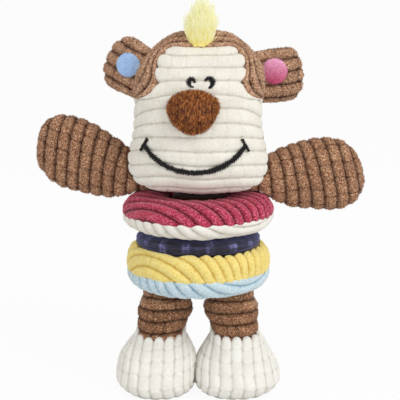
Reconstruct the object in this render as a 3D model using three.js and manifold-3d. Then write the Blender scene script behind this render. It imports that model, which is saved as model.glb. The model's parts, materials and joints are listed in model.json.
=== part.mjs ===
// A corduroy plush monkey, built as it is sewn: cloth panels over stuffing, ring cushions threaded
// on a stuffed torso, and a head, arms, legs and ears that flex at their seams.
// Millimetres, +Z up, the face towards -Y. Left and right are the toy's own, so its left is +X.
import * as THREE from "three";
import { mergeVertices } from "three/addons/utils/BufferGeometryUtils.js";
import Module from "manifold-3d";

const wasm = await Module();
wasm.setup();

// Cloth and clearances
const CLOTH = 1.6; // corduroy with its pile
const FELT = 1.2; // the ear patches
const THREAD = 2.6; // width of the satin stitching
const SEAM_GAP = 0.3; // between neighbouring pieces
const RING_CLEARANCE = 0.5; // between the torso and a ring that turns on it
const ARM_CLEARANCE = 1.5; // between an arm and the turning head or ring beside it
const NOD_CLEARANCE = 2.6; // between the torso and the underside of the head

// Legs and feet
const LEG_HEIGHT = 67; // sole to the top of the hip
const HIP_RADIUS = 15; // the rolled top that the leg swings on
const HIP_SPACING = 43; // between the two legs at the hip
const THIGH_WIDTH = 35;
const ANKLE_WIDTH = 33;
const ANKLE_HEIGHT = 36; // the seam at the front of the ankle
const ANKLE_SLOPE = 22; // degrees, the seam rises to the back
const FOOT_SPACING = 56; // between the centres of the two feet
const FOOT_WIDTH = 53.5;
const FOOT_BULGE = 10; // height of the widest part
const TOE_REACH = 40; // ahead of the leg
const HEEL_REACH = 21; // behind the leg

// Torso and the ring cushions on it
const TORSO_RADIUS = 17.5;
const SHOULDER_DOME = 4.2;
const NECK_HOLE = 6;
const RINGS = {
  lower: { radius: 47, height: 25, top: "#efd06a", bottom: "#b9d3e4" },
  middle: { radius: 41, height: 11, top: "#3a3a5c", bottom: "#3a3a5c" },
  upper: { radius: 49.5, height: 25, top: "#c04a68", bottom: "#e6e1d3" },
};
const RING_FULLNESS = 2.3; // 2 is an ellipse in section, more is boxier

// Neck and head
const NECK_RADIUS = 11;
const NECK_BACK = 2; // behind the torso's axis
const CHIN_GAP = 3.2; // chin above the top ring
const NECK_SWING = 15; // degrees that the head turns each way
const HEAD_HEIGHT = 101;
const HEAD_WIDTH = 88;
const HEAD_FRONT = 38.5; // ahead of the torso's axis
const HEAD_BACK = 31;
const HEAD_FULLNESS = 2.5;
const BROW_DROP = 8; // top edge of the face panel below the crown
const FOREHEAD_WIDTH = 57;
const CHEEK_DROP = 40; // where the face panel widens to the full muzzle, below the crown
const FACE_DEPTH = 4; // the side seam of the muzzle, ahead of the torso's axis
const GUSSET_DEPTH = 14; // the seam of the crown band, behind the torso's axis
const FACE_HEIGHT = HEAD_HEIGHT - BROW_DROP; // above the chin
const CHEEK_HEIGHT = HEAD_HEIGHT - CHEEK_DROP;

// Face
const NOSE_WIDTH = 32;
const NOSE_HEIGHT = 27;
const NOSE_DEPTH = 14;
const NOSE_TAPER = 0.26; // wide above, narrow below
const NOSE_PLACE = { x: -3, drop: 47 }; // below the crown
const EYE_DROP = 30; // below the crown
const EYE_SPACING = 11.6;
const EYE_SHIFT = 1.3; // the pair sits a little to the toy's left
const EYE_RADIUS = 2.8;
const SMILE_WIDTH = 62;
const SMILE_SAG = 16;
const SMILE_PLACE = { x: -2, height: 16 }; // its lowest point
const TICK = 7; // length of the stitch across each end of the smile
const TUFT_WIDTH = 27;
const TUFT_HEIGHT = 30;
const TUFT_DEPTH = 15;
const TUFT_TAPER = 0.32; // wide above, narrow at the root
const TUFT_RISE = 19; // its tip above the head

// Ears
const EAR_LENGTH = 27;
const EAR_WIDTH = 36.5;
const EAR_THICKNESS = 10.4;
const EAR_ROOT = 4; // half the thickness at the seam
const EAR_BACK = 17; // behind the torso's axis
const EAR_FOLD = 20; // degrees that an ear folds each way
const EAR_PATCH = 16; // across
const EARS = {
  // each one's drop below the crown, and the degrees that it tilts up and sweeps back
  left: { side: 1, drop: 30.5, tilt: 12, sweep: 0, patch: "#d7709b" },
  right: { side: -1, drop: 27, tilt: 20, sweep: 18, patch: "#8fb0e0" },
};

// Arms
const ARM_LENGTH = 93;
const ARM_WIDTH = 49; // across the hand
const ARM_THICKNESS = 25;
const ARM_ROOT = 3.5; // half the thickness at the seam
const ARM_ROOT_WIDTH = 8.4;
const ARM_ROOT_TILT = 15; // degrees, over the shoulder of the ring
const ARM_SWEEP = 13; // degrees backwards
const ARM_SECTOR = 35; // degrees behind the shoulders that an arm swings in
const ARM_BACK = 8; // behind the torso's axis
const ARM_RISE = 2.6; // shoulder above the top ring
const ARMS = {
  left: { side: 1, tilt: 3.5 },
  right: { side: -1, tilt: 18.5 },
};

// Squeaker in the back of the head
const SQUEAKER_RADIUS = 14;
const SQUEAKER_LENGTH = 18;
const SQUEAKER_WALL = 1.2;
const SQUEAKER_HEIGHT = 48; // above the chin
const REED_RADIUS = 4;
const REED_LENGTH = 7;

const BROWN = "#8f6a4f";
const CREAM = "#e9e4d6";
const FILL = "#f2f0ea";
const NOSE_BROWN = "#6f4126";
const BLACK = "#171514";
const YELLOW_FUR = "#f3e889";
const PLASTIC = "#dfe3e6";

const ROUND = 20; // sides of the turned pieces
const FAR = 500; // reaches past the whole toy
const rad = THREE.MathUtils.degToRad;

// Solids: a closed geometry as a manifold, and back again

function solid(geometry) {
  const bare = geometry.index ? geometry.toNonIndexed() : geometry.clone();
  bare.deleteAttribute("normal");
  bare.deleteAttribute("uv");
  const merged = mergeVertices(bare, 1e-3);
  const corners = [...merged.index.array];
  const kept = [];
  for (let i = 0; i < corners.length; i += 3) {
    const [a, b, c] = corners.slice(i, i + 3);
    if (a !== b && b !== c && c !== a) kept.push(a, b, c);
  }
  return new wasm.Manifold(
    new wasm.Mesh({
      numProp: 3,
      vertProperties: merged.attributes.position.array,
      triVerts: new Uint32Array(kept),
    }),
  );
}

function geometryOf(made) {
  const mesh = made.getMesh();
  const position = new THREE.BufferAttribute(new Float32Array(mesh.vertProperties), 3);
  const geometry = new THREE.BufferGeometry().setAttribute("position", position);
  geometry.setIndex(new THREE.BufferAttribute(new Uint32Array(mesh.triVerts), 1));
  return geometry;
}

function piece(name, made, colour, roughness = 0.95) {
  const geometry = made.isBufferGeometry ? made : geometryOf(made);
  geometry.computeVertexNormals();
  const material = new THREE.MeshStandardMaterial({ color: colour, roughness, metalness: 0 });
  const mesh = new THREE.Mesh(geometry, material);
  mesh.name = name;
  return mesh;
}

// A box that reaches past the toy on every side that isn't limited.
function slab({ x = [-FAR, FAR], y = [-FAR, FAR], z = [-FAR, FAR] }) {
  const box = new THREE.BoxGeometry(x[1] - x[0], y[1] - y[0], z[1] - z[0]);
  return solid(box.translate((x[0] + x[1]) / 2, (y[0] + y[1]) / 2, (z[0] + z[1]) / 2));
}

function turned(profile, segments = ROUND) {
  return solid(new THREE.LatheGeometry(profile, segments).rotateX(Math.PI / 2));
}

// The solid of one group's frame, seen from another's.
function carried(made, from, to) {
  from.updateWorldMatrix(true, false);
  to.updateWorldMatrix(true, false);
  const matrix = to.matrixWorld.clone().invert().multiply(from.matrixWorld);
  return made.transform(matrix.elements);
}

// Stuffed forms: rows of [along, half-width, front, back, shift], from one end to the other

function smoothRows(stations, count) {
  const curve = new THREE.CubicInterpolant(
    stations.map((_, i) => i),
    stations.flat(),
    stations[0].length,
  );
  const last = stations.length - 1;
  return Array.from({ length: count + 1 }, (_, i) => [...curve.evaluate((i / count) * last)]);
}

// One row with the form shrunk by the inset on every side; a negative inset grows it.
function insetRow(rows, row, inset) {
  const [along, half, front, back, shift = 0] = row;
  const low = rows[0][0];
  const high = rows.at(-1)[0];
  const middle = (low + high) / 2;
  const shrink = 1 - (2 * inset) / (high - low);
  return {
    along: middle + (along - middle) * shrink,
    half: Math.max(half - inset, 0),
    centre: (front + back) / 2,
    depth: Math.max((back - front) / 2 - inset, 0),
    shift,
  };
}

const rounded = (value, fullness) => Math.sign(value) * Math.abs(value) ** (2 / fullness);

// A closed form that runs along Z, with its width along X and its front towards -Y.
function stuffed(rows, sides, fullness, inset = 0) {
  const rings = rows.map((row) => {
    const { along, half, centre, depth, shift } = insetRow(rows, row, inset);
    return Array.from({ length: sides }, (_, j) => {
      const turn = (2 * Math.PI * j) / sides;
      const x = shift + half * rounded(Math.cos(turn), fullness);
      const y = centre + depth * rounded(Math.sin(turn), fullness);
      return new THREE.Vector3(x, y, along);
    });
  });
  const middleOf = (ring) =>
    ring.reduce((sum, p) => sum.add(p), new THREE.Vector3()).divideScalar(ring.length);
  const corners = [];
  const last = rings.length - 1;
  const bottom = middleOf(rings[0]);
  const top = middleOf(rings[last]);
  for (let j = 0; j < sides; j++) {
    const k = (j + 1) % sides;
    corners.push(bottom, rings[0][k], rings[0][j], top, rings[last][j], rings[last][k]);
    for (let i = 0; i < last; i++) {
      const [a, b, c, d] = [rings[i][j], rings[i][k], rings[i + 1][k], rings[i + 1][j]];
      corners.push(a, b, c, a, c, d);
    }
  }
  return new THREE.BufferGeometry().setFromPoints(corners);
}

// Turns a form that runs along Z so that it runs along one direction with its width along another.
function laid(geometry, along, width) {
  const depth = new THREE.Vector3().crossVectors(along, width);
  return geometry.applyMatrix4(new THREE.Matrix4().makeBasis(width, depth, along));
}

// Rows of a rolled end about a seam line at the start of a limb, which it swings on.
function rolledRows(radius, half, steps = 3) {
  return Array.from({ length: steps }, (_, i) => {
    const turn = (Math.PI / 2) * (1 - i / steps);
    const depth = radius * Math.cos(turn);
    return [-radius * Math.sin(turn), half, -depth, depth, 0];
  });
}

// Legs: a brown sleeve, a cream foot and its flat sole over one column of stuffing

function legRows(side, count) {
  const hip = LEG_HEIGHT - HIP_RADIUS;
  const footHalf = FOOT_WIDTH / 2;
  const ankleHalf = ANKLE_WIDTH / 2;
  const thighHalf = THIGH_WIDTH / 2;
  const inwards = (-side * (FOOT_SPACING - HIP_SPACING)) / 2;
  const instep = (FOOT_BULGE + ANKLE_HEIGHT) / 2;
  const stations = [
    [0, footHalf * 0.84, -TOE_REACH * 0.88, HEEL_REACH * 0.8, 0],
    [FOOT_BULGE / 2, footHalf * 0.97, -TOE_REACH * 0.98, HEEL_REACH * 0.96, 0],
    [FOOT_BULGE, footHalf, -TOE_REACH, HEEL_REACH, 0],
    [instep, footHalf * 0.92, -TOE_REACH * 0.85, HEEL_REACH, inwards * 0.2],
    [ANKLE_HEIGHT, ankleHalf * 1.08, -ankleHalf * 1.25, ankleHalf * 1.12, inwards * 0.5],
    [(ANKLE_HEIGHT + hip) / 2, ankleHalf, -ankleHalf, ankleHalf, inwards * 0.75],
    [hip, thighHalf, -HIP_RADIUS, HIP_RADIUS, inwards],
  ];
  const rolled = rolledRows(HIP_RADIUS, thighHalf).reverse();
  const top = rolled.map(([down, half, front, back]) => {
    const narrowing = half * (1 + 0.22 * (down / HIP_RADIUS));
    return [hip - down, narrowing, front, back, inwards];
  });
  return [...smoothRows(stations, count), ...top];
}

function leg(name, side) {
  const group = new THREE.Group();
  group.position.set((side * FOOT_SPACING) / 2, 0, 0);
  const fullness = 2.3;
  const outer = solid(stuffed(legRows(side, 8), 14, fullness));
  const inner = solid(stuffed(legRows(side, 6), 10, fullness, CLOTH));
  const fill = solid(stuffed(legRows(side, 6), 10, fullness, CLOTH + SEAM_GAP));
  const wall = outer.subtract(inner);
  const seam = new THREE.Matrix4().makeRotationX(rad(ANKLE_SLOPE));
  seam.setPosition(0, -ANKLE_WIDTH / 2, ANKLE_HEIGHT);
  const above = slab({ z: [SEAM_GAP / 2, FAR] }).transform(seam.elements);
  const below = slab({ z: [-FAR, -SEAM_GAP / 2] }).transform(seam.elements);
  const sole = slab({ z: [-FAR, CLOTH - SEAM_GAP] });
  const upper = slab({ z: [CLOTH, FAR] });
  group.add(
    piece(`${name}_leg_sleeve`, wall.intersect(above), BROWN),
    piece(`${name}_foot_upper`, wall.intersect(below).intersect(upper), CREAM),
    piece(`${name}_foot_sole`, outer.intersect(sole), CREAM),
    piece(`${name}_leg_stuffing`, fill, FILL),
  );
  return group;
}

// Ring cushions: two cloth halves sewn round the rim and the bore, over a ring of stuffing

const RING_BORE = TORSO_RADIUS + RING_CLEARANCE;

// The section of a ring, grown or shrunk, as points from one angle to another.
function ringSection(ring, grow, from, to, steps) {
  const half = (ring.radius - RING_BORE) / 2;
  const centre = (ring.radius + RING_BORE) / 2;
  return Array.from({ length: steps + 1 }, (_, i) => {
    const turn = from + ((to - from) * i) / steps;
    const across = (half + grow) * rounded(Math.cos(turn), RING_FULLNESS);
    const up = (ring.height / 2 + grow) * rounded(Math.sin(turn), RING_FULLNESS);
    return new THREE.Vector2(centre + across, up);
  });
}

// The upper or lower cloth of a ring, a trough whose two edges meet the other half's.
function ringCover(ring, side) {
  const lift = ({ x, y }) => new THREE.Vector2(x, side * Math.max(y, SEAM_GAP / 2));
  const outside = ringSection(ring, 0, 0, Math.PI, 5).map(lift);
  const inside = ringSection(ring, -CLOTH, Math.PI, 0, 3).map(lift);
  const profile = [...outside, ...inside, outside[0]];
  return turned(side > 0 ? profile : profile.reverse());
}

function ring(name, size, height) {
  const group = new THREE.Group();
  group.position.z = height;
  const fill = ringSection(size, -CLOTH - SEAM_GAP, 0, 2 * Math.PI, 6);
  group.add(
    piece(`${name}_ring_top`, ringCover(size, 1), size.top),
    piece(`${name}_ring_bottom`, ringCover(size, -1), size.bottom),
    piece(`${name}_ring_stuffing`, turned(fill), FILL),
  );
  return group;
}

// Heights of the stack, from the hips up
const STACK_BASE = LEG_HEIGHT + SEAM_GAP;
const ringHeights = {};
let stackTop = STACK_BASE;
for (const [name, size] of Object.entries(RINGS)) {
  ringHeights[name] = stackTop + size.height / 2;
  stackTop += size.height + SEAM_GAP;
}
const RING_TOP = stackTop - SEAM_GAP;

// Torso: a sleeve with a domed top and a neck hole, closed below by a round base panel

const TORSO_BASE = STACK_BASE;

// The domed outline of the torso, shrunk on every side, from the shoulder to a given radius.
function shoulderCurve(inset, to, steps) {
  const radius = TORSO_RADIUS - inset;
  const dome = SHOULDER_DOME;
  return Array.from({ length: steps + 1 }, (_, i) => {
    const across = radius + ((to - radius) * i) / steps;
    const up = dome * Math.sqrt(1 - (across / radius) ** 2);
    return new THREE.Vector2(across, RING_TOP - inset + up);
  });
}

function torso(underHead) {
  const group = new THREE.Group();
  const sleeveFoot = TORSO_BASE + CLOTH + SEAM_GAP;
  const wallRadius = TORSO_RADIUS - CLOTH;
  const fillInset = CLOTH + SEAM_GAP;
  const sleeve = [
    new THREE.Vector2(wallRadius, sleeveFoot),
    new THREE.Vector2(TORSO_RADIUS, sleeveFoot),
    ...shoulderCurve(0, NECK_HOLE, 5),
    ...shoulderCurve(CLOTH, NECK_HOLE, 4).reverse(),
    new THREE.Vector2(wallRadius, sleeveFoot),
  ];
  const base = new THREE.CylinderGeometry(TORSO_RADIUS, TORSO_RADIUS, CLOTH, ROUND);
  base.rotateX(Math.PI / 2).translate(0, 0, TORSO_BASE + CLOTH / 2);
  const fill = [
    new THREE.Vector2(0, sleeveFoot),
    new THREE.Vector2(TORSO_RADIUS - fillInset, sleeveFoot),
    ...shoulderCurve(fillInset, NECK_HOLE, 4),
  ];
  fill.push(new THREE.Vector2(0, fill.at(-1).y));
  group.add(
    piece("torso_sleeve", turned(sleeve).subtract(underHead), BROWN),
    piece("torso_base_panel", solid(base), BROWN),
    piece("torso_stuffing", turned(fill).subtract(underHead), FILL),
  );
  return group;
}

// Neck: a short stuffed ball of cloth that stands on the torso and enters the head

const NECK_HEIGHT = RING_TOP + SHOULDER_DOME + CHIN_GAP - SEAM_GAP;

const neckBall = (radius, grow = 0) =>
  solid(new THREE.SphereGeometry(radius + grow, 16, 9).rotateX(Math.PI / 2));

function neck() {
  const group = new THREE.Group();
  group.position.set(0, NECK_BACK, NECK_HEIGHT);
  const floor = RING_TOP + SHOULDER_DOME + SEAM_GAP - NECK_HEIGHT;
  const above = slab({ z: [floor, FAR] });
  const cover = neckBall(NECK_RADIUS).subtract(neckBall(NECK_RADIUS - CLOTH));
  const fill = neckBall(NECK_RADIUS - CLOTH - SEAM_GAP);
  group.add(
    piece("neck_cover", cover.intersect(above), BROWN),
    piece("neck_stuffing", fill.intersect(above), FILL),
  );
  return group;
}

// Head: a cream face, a brown crown band and a brown back, over stuffing with a squeaker in it

// Shares of the head's height, half-width, front and back at each station from chin to crown.
const HEAD_PROFILE = [
  [0, 0, 0.55, -0.68],
  [0.008, 0.52, 0.77, -0.32],
  [0.05, 0.86, 0.88, 0.19],
  [0.13, 0.99, 0.95, 0.68],
  [0.22, 1, 0.985, 0.87],
  [0.38, 0.945, 1, 1],
  [0.54, 0.94, 0.95, 1],
  [0.65, 0.97, 0.845, 0.95],
  [0.75, 0.915, 0.73, 0.84],
  [0.86, 0.785, 0.545, 0.66],
  [0.935, 0.6, 0.35, 0.45],
  [0.985, 0.325, 0.14, 0.225],
  [1, 0, -0.03, 0.03],
];

const headRows = (count) =>
  smoothRows(
    HEAD_PROFILE.map(([up, wide, front, back]) => [
      up * HEAD_HEIGHT,
      (wide * HEAD_WIDTH) / 2,
      -front * HEAD_FRONT,
      back * HEAD_BACK,
    ]),
    count,
  );

const headForm = (rows, sides, inset) =>
  solid(stuffed(headRows(rows), sides, HEAD_FULLNESS, inset));

// The row of the head at a height above the chin.
function headRowAt(height) {
  const rows = headRows(96);
  const above = rows.findIndex(([along]) => along >= height);
  const [low, high] = [rows[above - 1], rows[above]];
  const share = (height - low[0]) / (high[0] - low[0]);
  return low.map((value, i) => THREE.MathUtils.lerp(value, high[i], share));
}

// The point of the face at a place across the head and a height above the chin.
function facePoint(x, height) {
  const [, half, front, back] = headRowAt(height);
  const across = Math.min(Math.abs(x) / half, 1) ** HEAD_FULLNESS;
  const depth = ((back - front) / 2) * (1 - across) ** (1 / HEAD_FULLNESS);
  return new THREE.Vector3(x, (front + back) / 2 - depth, height);
}

// The direction that the face looks in at that place.
function faceNormal(x, height) {
  const step = 1;
  const across = facePoint(x + step, height).sub(facePoint(x - step, height));
  const up = facePoint(x, height + step).sub(facePoint(x, height - step));
  return across.cross(up).normalize();
}

// The half-width of the side of the head at a height, behind its widest line.
function sideReach(height, y) {
  const [, half, front, back] = headRowAt(height);
  const along = Math.abs((y - (front + back) / 2) / ((back - front) / 2));
  return half * (1 - along ** HEAD_FULLNESS) ** (1 / HEAD_FULLNESS);
}

// The furthest that the head reaches past the neck's axis at a height, where it turns over an arm.
function turningReach(height) {
  const [, half, front, back] = headRowAt(height);
  const centre = (front + back) / 2;
  const depth = (back - front) / 2;
  const reaches = Array.from({ length: 73 }, (_, i) => {
    const turn = rad(i * 5 - 180);
    const x = half * rounded(Math.cos(turn), HEAD_FULLNESS);
    const y = centre + depth * rounded(Math.sin(turn), HEAD_FULLNESS) - NECK_BACK;
    const bearing = THREE.MathUtils.radToDeg(Math.atan2(y, x));
    const swept = bearing > -NECK_SWING && bearing < ARM_SECTOR + NECK_SWING;
    return swept ? Math.hypot(x, y) : 0;
  });
  return Math.max(...reaches);
}

// The space that the head turns in, as far as the arms are concerned.
function headSweep() {
  const shares = [0.03, 0.06, 0.1, 0.15, 0.22, 0.32, 0.45, 0.6];
  const side = shares.map((share) => {
    const height = share * HEAD_HEIGHT;
    return new THREE.Vector2(turningReach(height) + ARM_CLEARANCE, height - ARM_CLEARANCE);
  });
  const low = new THREE.Vector2(0, side[0].y);
  const high = new THREE.Vector2(0, side.at(-1).y);
  return turned([low, ...side, high], 32).translate([0, NECK_BACK, 0]);
}

// What the face panel covers: a forehead that widens to the whole muzzle, cut straight back.
function faceCutter(grow) {
  const brow = FOREHEAD_WIDTH / 2 + grow;
  const top = FACE_HEIGHT + grow;
  const cheek = CHEEK_HEIGHT + grow;
  const temple = (CHEEK_HEIGHT + FACE_HEIGHT) / 2;
  const side = HEAD_WIDTH / 2;
  const outline = new THREE.Shape();
  outline.moveTo(-HEAD_WIDTH, -FAR);
  outline.lineTo(HEAD_WIDTH, -FAR);
  outline.lineTo(HEAD_WIDTH, cheek - side * 0.3);
  outline.lineTo(side, cheek - side * 0.1);
  outline.quadraticCurveTo(brow * 1.1, cheek, brow * 1.02, temple);
  outline.quadraticCurveTo(brow, top, brow * 0.6, top);
  outline.lineTo(-brow * 0.6, top);
  outline.quadraticCurveTo(-brow, top, -brow * 1.02, temple);
  outline.quadraticCurveTo(-brow * 1.1, cheek, -side, cheek - side * 0.1);
  outline.lineTo(-HEAD_WIDTH, cheek - side * 0.3);
  const depth = FAR - FACE_DEPTH + grow;
  const block = new THREE.ExtrudeGeometry(outline, { depth, bevelEnabled: false, curveSegments: 4 });
  return solid(block.rotateX(Math.PI / 2).translate(0, -FACE_DEPTH + grow, 0));
}

function squeaker(head) {
  const group = new THREE.Group();
  const innerBack = headRowAt(SQUEAKER_HEIGHT)[3] - CLOTH - SEAM_GAP;
  const lift = SQUEAKER_RADIUS * 0.35;
  group.position.set(0, innerBack - SQUEAKER_LENGTH - lift, SQUEAKER_HEIGHT);
  group.rotation.x = -Math.PI / 2;
  const bulge = (radius, low, high, steps) =>
    Array.from({ length: steps + 1 }, (_, i) => {
      const turn = (Math.PI / 2) * (i / steps);
      return new THREE.Vector2(radius * Math.cos(turn), low + (high - low) * Math.sin(turn));
    });
  const neckRadius = REED_RADIUS + SEAM_GAP;
  const inner = SQUEAKER_RADIUS - SQUEAKER_WALL;
  const waist = SQUEAKER_LENGTH * 0.4;
  const bulb = [
    new THREE.Vector2(neckRadius, 0),
    new THREE.Vector2(neckRadius + SQUEAKER_WALL, 0),
    ...bulge(SQUEAKER_RADIUS, waist, SQUEAKER_LENGTH, 4),
    ...bulge(inner, waist, SQUEAKER_LENGTH - SQUEAKER_WALL, 3).reverse(),
    new THREE.Vector2(neckRadius, SQUEAKER_WALL * 2),
    new THREE.Vector2(neckRadius, 0),
  ];
  const reed = new THREE.CylinderGeometry(REED_RADIUS, REED_RADIUS, REED_LENGTH, 12);
  group.add(
    piece("squeaker_bulb", turned(bulb), PLASTIC, 0.4),
    piece("squeaker_reed", reed.rotateX(Math.PI / 2).translate(0, 0, REED_LENGTH / 2), PLASTIC, 0.4),
  );
  head.add(group);
  return group;
}

function head(neckGroup) {
  const group = new THREE.Group();
  group.position.z = RING_TOP + CHIN_GAP;
  const outer = headForm(14, 22, 0);
  const inner = headForm(11, 16, CLOTH);
  const fill = headForm(11, 16, CLOTH + SEAM_GAP);
  const neckSocket = carried(neckBall(NECK_RADIUS, SEAM_GAP), neckGroup, group);
  const wall = outer.subtract(inner).subtract(neckSocket);
  const behindFace = wall.subtract(faceCutter(SEAM_GAP));
  const band = slab({ y: [-FAR, GUSSET_DEPTH - SEAM_GAP], z: [CHEEK_HEIGHT * 0.7, FAR] });
  const behindBand = slab({ y: [-FAR, GUSSET_DEPTH], z: [CHEEK_HEIGHT * 0.7 - SEAM_GAP, FAR] });
  const pocket = new THREE.CylinderGeometry(1, 1, FAR, ROUND).translate(0, FAR / 2, 0);
  const pocketRadius = SQUEAKER_RADIUS + SEAM_GAP;
  const squeakerGroup = squeaker(group);
  pocket.scale(pocketRadius, 1, pocketRadius);
  pocket.translate(0, squeakerGroup.position.y - SEAM_GAP, SQUEAKER_HEIGHT);
  group.add(
    piece("face_panel", wall.intersect(faceCutter(0)), CREAM),
    piece("head_crown_band", behindFace.intersect(band), BROWN),
    piece("head_back_panel", behindFace.subtract(behindBand), BROWN),
    piece("head_stuffing", fill.subtract(neckSocket).subtract(solid(pocket)), FILL),
  );
  return group;
}

// Face: a stuffed nose, satin-stitched eyes and smile, and a tuft of long pile

// A ball that is wider above than below.
function taperedBall(half, taper, sides) {
  const ball = new THREE.SphereGeometry(1, sides, Math.round(sides * 0.7)).rotateX(Math.PI / 2);
  const place = ball.attributes.position;
  for (let i = 0; i < place.count; i++) {
    const widening = 1 + taper * place.getZ(i);
    place.setXYZ(i, half.x * place.getX(i) * widening, half.y * place.getY(i), half.z * place.getZ(i));
  }
  return ball;
}

function nose(faceClear) {
  const seat = facePoint(NOSE_PLACE.x, HEAD_HEIGHT - NOSE_PLACE.drop);
  const form = (inset, sides) => {
    const half = new THREE.Vector3(NOSE_WIDTH / 2, NOSE_DEPTH, NOSE_HEIGHT / 2).subScalar(inset);
    const ball = taperedBall(half, NOSE_TAPER, sides);
    return solid(ball.translate(seat.x, seat.y, seat.z));
  };
  const cover = form(0, 14).subtract(form(CLOTH, 10)).subtract(faceClear);
  return [
    piece("nose_cover", cover, NOSE_BROWN),
    piece("nose_stuffing", form(CLOTH + SEAM_GAP, 10).subtract(faceClear), FILL),
  ];
}

// A disc of satin stitch with a bare glint cut into its inner foot.
function eye(name, side) {
  const x = EYE_SHIFT + (side * EYE_SPACING) / 2;
  const disc = new THREE.CylinderGeometry(EYE_RADIUS, EYE_RADIUS, THREAD / 2, 18);
  const glint = new THREE.CylinderGeometry(EYE_RADIUS / 2, EYE_RADIUS / 2, FAR, 12);
  glint.translate(-side * EYE_RADIUS * 0.45, 0, -EYE_RADIUS * 0.6);
  const mesh = piece(name, solid(disc).subtract(solid(glint)).scale([1, 1, 1.2]), BLACK, 0.55);
  const height = HEAD_HEIGHT - EYE_DROP;
  const normal = faceNormal(x, height);
  mesh.quaternion.setFromUnitVectors(new THREE.Vector3(0, -1, 0), normal);
  mesh.position.copy(facePoint(x, height)).addScaledVector(normal, THREAD / 4 + SEAM_GAP);
  return mesh;
}

// A row of stitching along points on the face, as a round cord that lies on the cloth.
function stitching(places, steps) {
  const lie = ([x, height]) =>
    facePoint(x, height).addScaledVector(faceNormal(x, height), THREAD / 2 + SEAM_GAP);
  const path = new THREE.CatmullRomCurve3(places.map(lie));
  const section = new THREE.Shape().absarc(0, 0, THREAD / 2, 0, 2 * Math.PI);
  const options = { steps, extrudePath: path, curveSegments: 4 };
  return solid(new THREE.ExtrudeGeometry(section, options));
}

function smile() {
  const half = SMILE_WIDTH / 2;
  const at = (share) => [
    SMILE_PLACE.x + half * share,
    SMILE_PLACE.height + SMILE_SAG * (1 - Math.sqrt(1 - 0.75 * share ** 2)) * 2,
  ];
  const places = Array.from({ length: 11 }, (_, i) => at(-1 + i / 5));
  const tick = (side) => {
    const [x, height] = at(side);
    const lean = (side * TICK) / 4;
    return stitching([[x - lean, height + TICK / 2], [x, height], [x + lean, height - TICK / 2]], 3);
  };
  return piece("smile_stitching", stitching(places, 16).add(tick(-1)).add(tick(1)), BLACK, 0.55);
}

function tuft(faceClear) {
  const half = new THREE.Vector3(TUFT_WIDTH / 2, TUFT_DEPTH / 2, TUFT_HEIGHT / 2);
  const middle = HEAD_HEIGHT + TUFT_RISE - TUFT_HEIGHT / 2;
  const front = facePoint(0, FACE_HEIGHT).y + TUFT_DEPTH / 2;
  const ball = taperedBall(half, TUFT_TAPER, 14).translate(0, front, middle);
  return piece("hair_tuft", solid(ball).subtract(faceClear), YELLOW_FUR);
}

// Ears: two cloth halves over thin batting, with a round felt patch on the front

function earRows(count) {
  const half = EAR_WIDTH / 2;
  const thick = EAR_THICKNESS / 2;
  const stations = [
    [0, half * 0.74, EAR_ROOT],
    [EAR_LENGTH * 0.24, half * 0.92, thick * 0.96],
    [EAR_LENGTH * 0.5, half, thick],
    [EAR_LENGTH * 0.76, half * 0.86, thick * 0.84],
    [EAR_LENGTH * 0.93, half * 0.52, thick * 0.52],
    [EAR_LENGTH, 0, 0],
  ].map(([along, width, depth]) => [along, width, -depth, depth, 0]);
  return [...rolledRows(EAR_ROOT, half * 0.74, 2), ...smoothRows(stations, count)];
}

function ear(name, { side, drop, tilt, sweep, patch }, faceClear, headGroup) {
  const group = new THREE.Group();
  const height = HEAD_HEIGHT - drop; // above the chin
  const reach = sideReach(height, EAR_BACK) + EAR_ROOT + SEAM_GAP;
  group.position.set(side * reach, EAR_BACK, height);
  group.rotation.set(0, -side * rad(tilt), side * rad(sweep), "ZYX");
  headGroup.add(group);
  const rest = carried(faceClear, headGroup, group);
  const clear = rest.add(rest.rotate([0, 0, EAR_FOLD])).add(rest.rotate([0, 0, -EAR_FOLD]));
  const along = new THREE.Vector3(side, 0, 0);
  const up = new THREE.Vector3(0, 0, 1);
  const form = (rows, sides, inset) =>
    solid(laid(stuffed(earRows(rows), sides, 2.2, inset), along, up));
  const wall = form(6, 12, 0).subtract(form(5, 8, CLOTH)).subtract(clear);
  const fill = form(5, 8, CLOTH + SEAM_GAP).subtract(clear);
  const onCloth = form(6, 12, -FELT - SEAM_GAP).subtract(form(6, 12, -SEAM_GAP)).subtract(clear);
  const punch = new THREE.CylinderGeometry(EAR_PATCH / 2, EAR_PATCH / 2, FAR, 16);
  punch.translate(side * EAR_LENGTH * 0.36, -FAR / 2, 0);
  group.add(
    piece(`${name}_ear_front`, wall.intersect(slab({ y: [-FAR, -SEAM_GAP / 2] })), BROWN),
    piece(`${name}_ear_back`, wall.intersect(slab({ y: [SEAM_GAP / 2, FAR] })), BROWN),
    piece(`${name}_ear_batting`, fill, FILL),
    piece(`${name}_ear_patch`, onCloth.intersect(solid(punch)), patch),
  );
}

// Arms: mitten-shaped, two cloth halves over stuffing, sewn to the torso's side at the root

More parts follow.
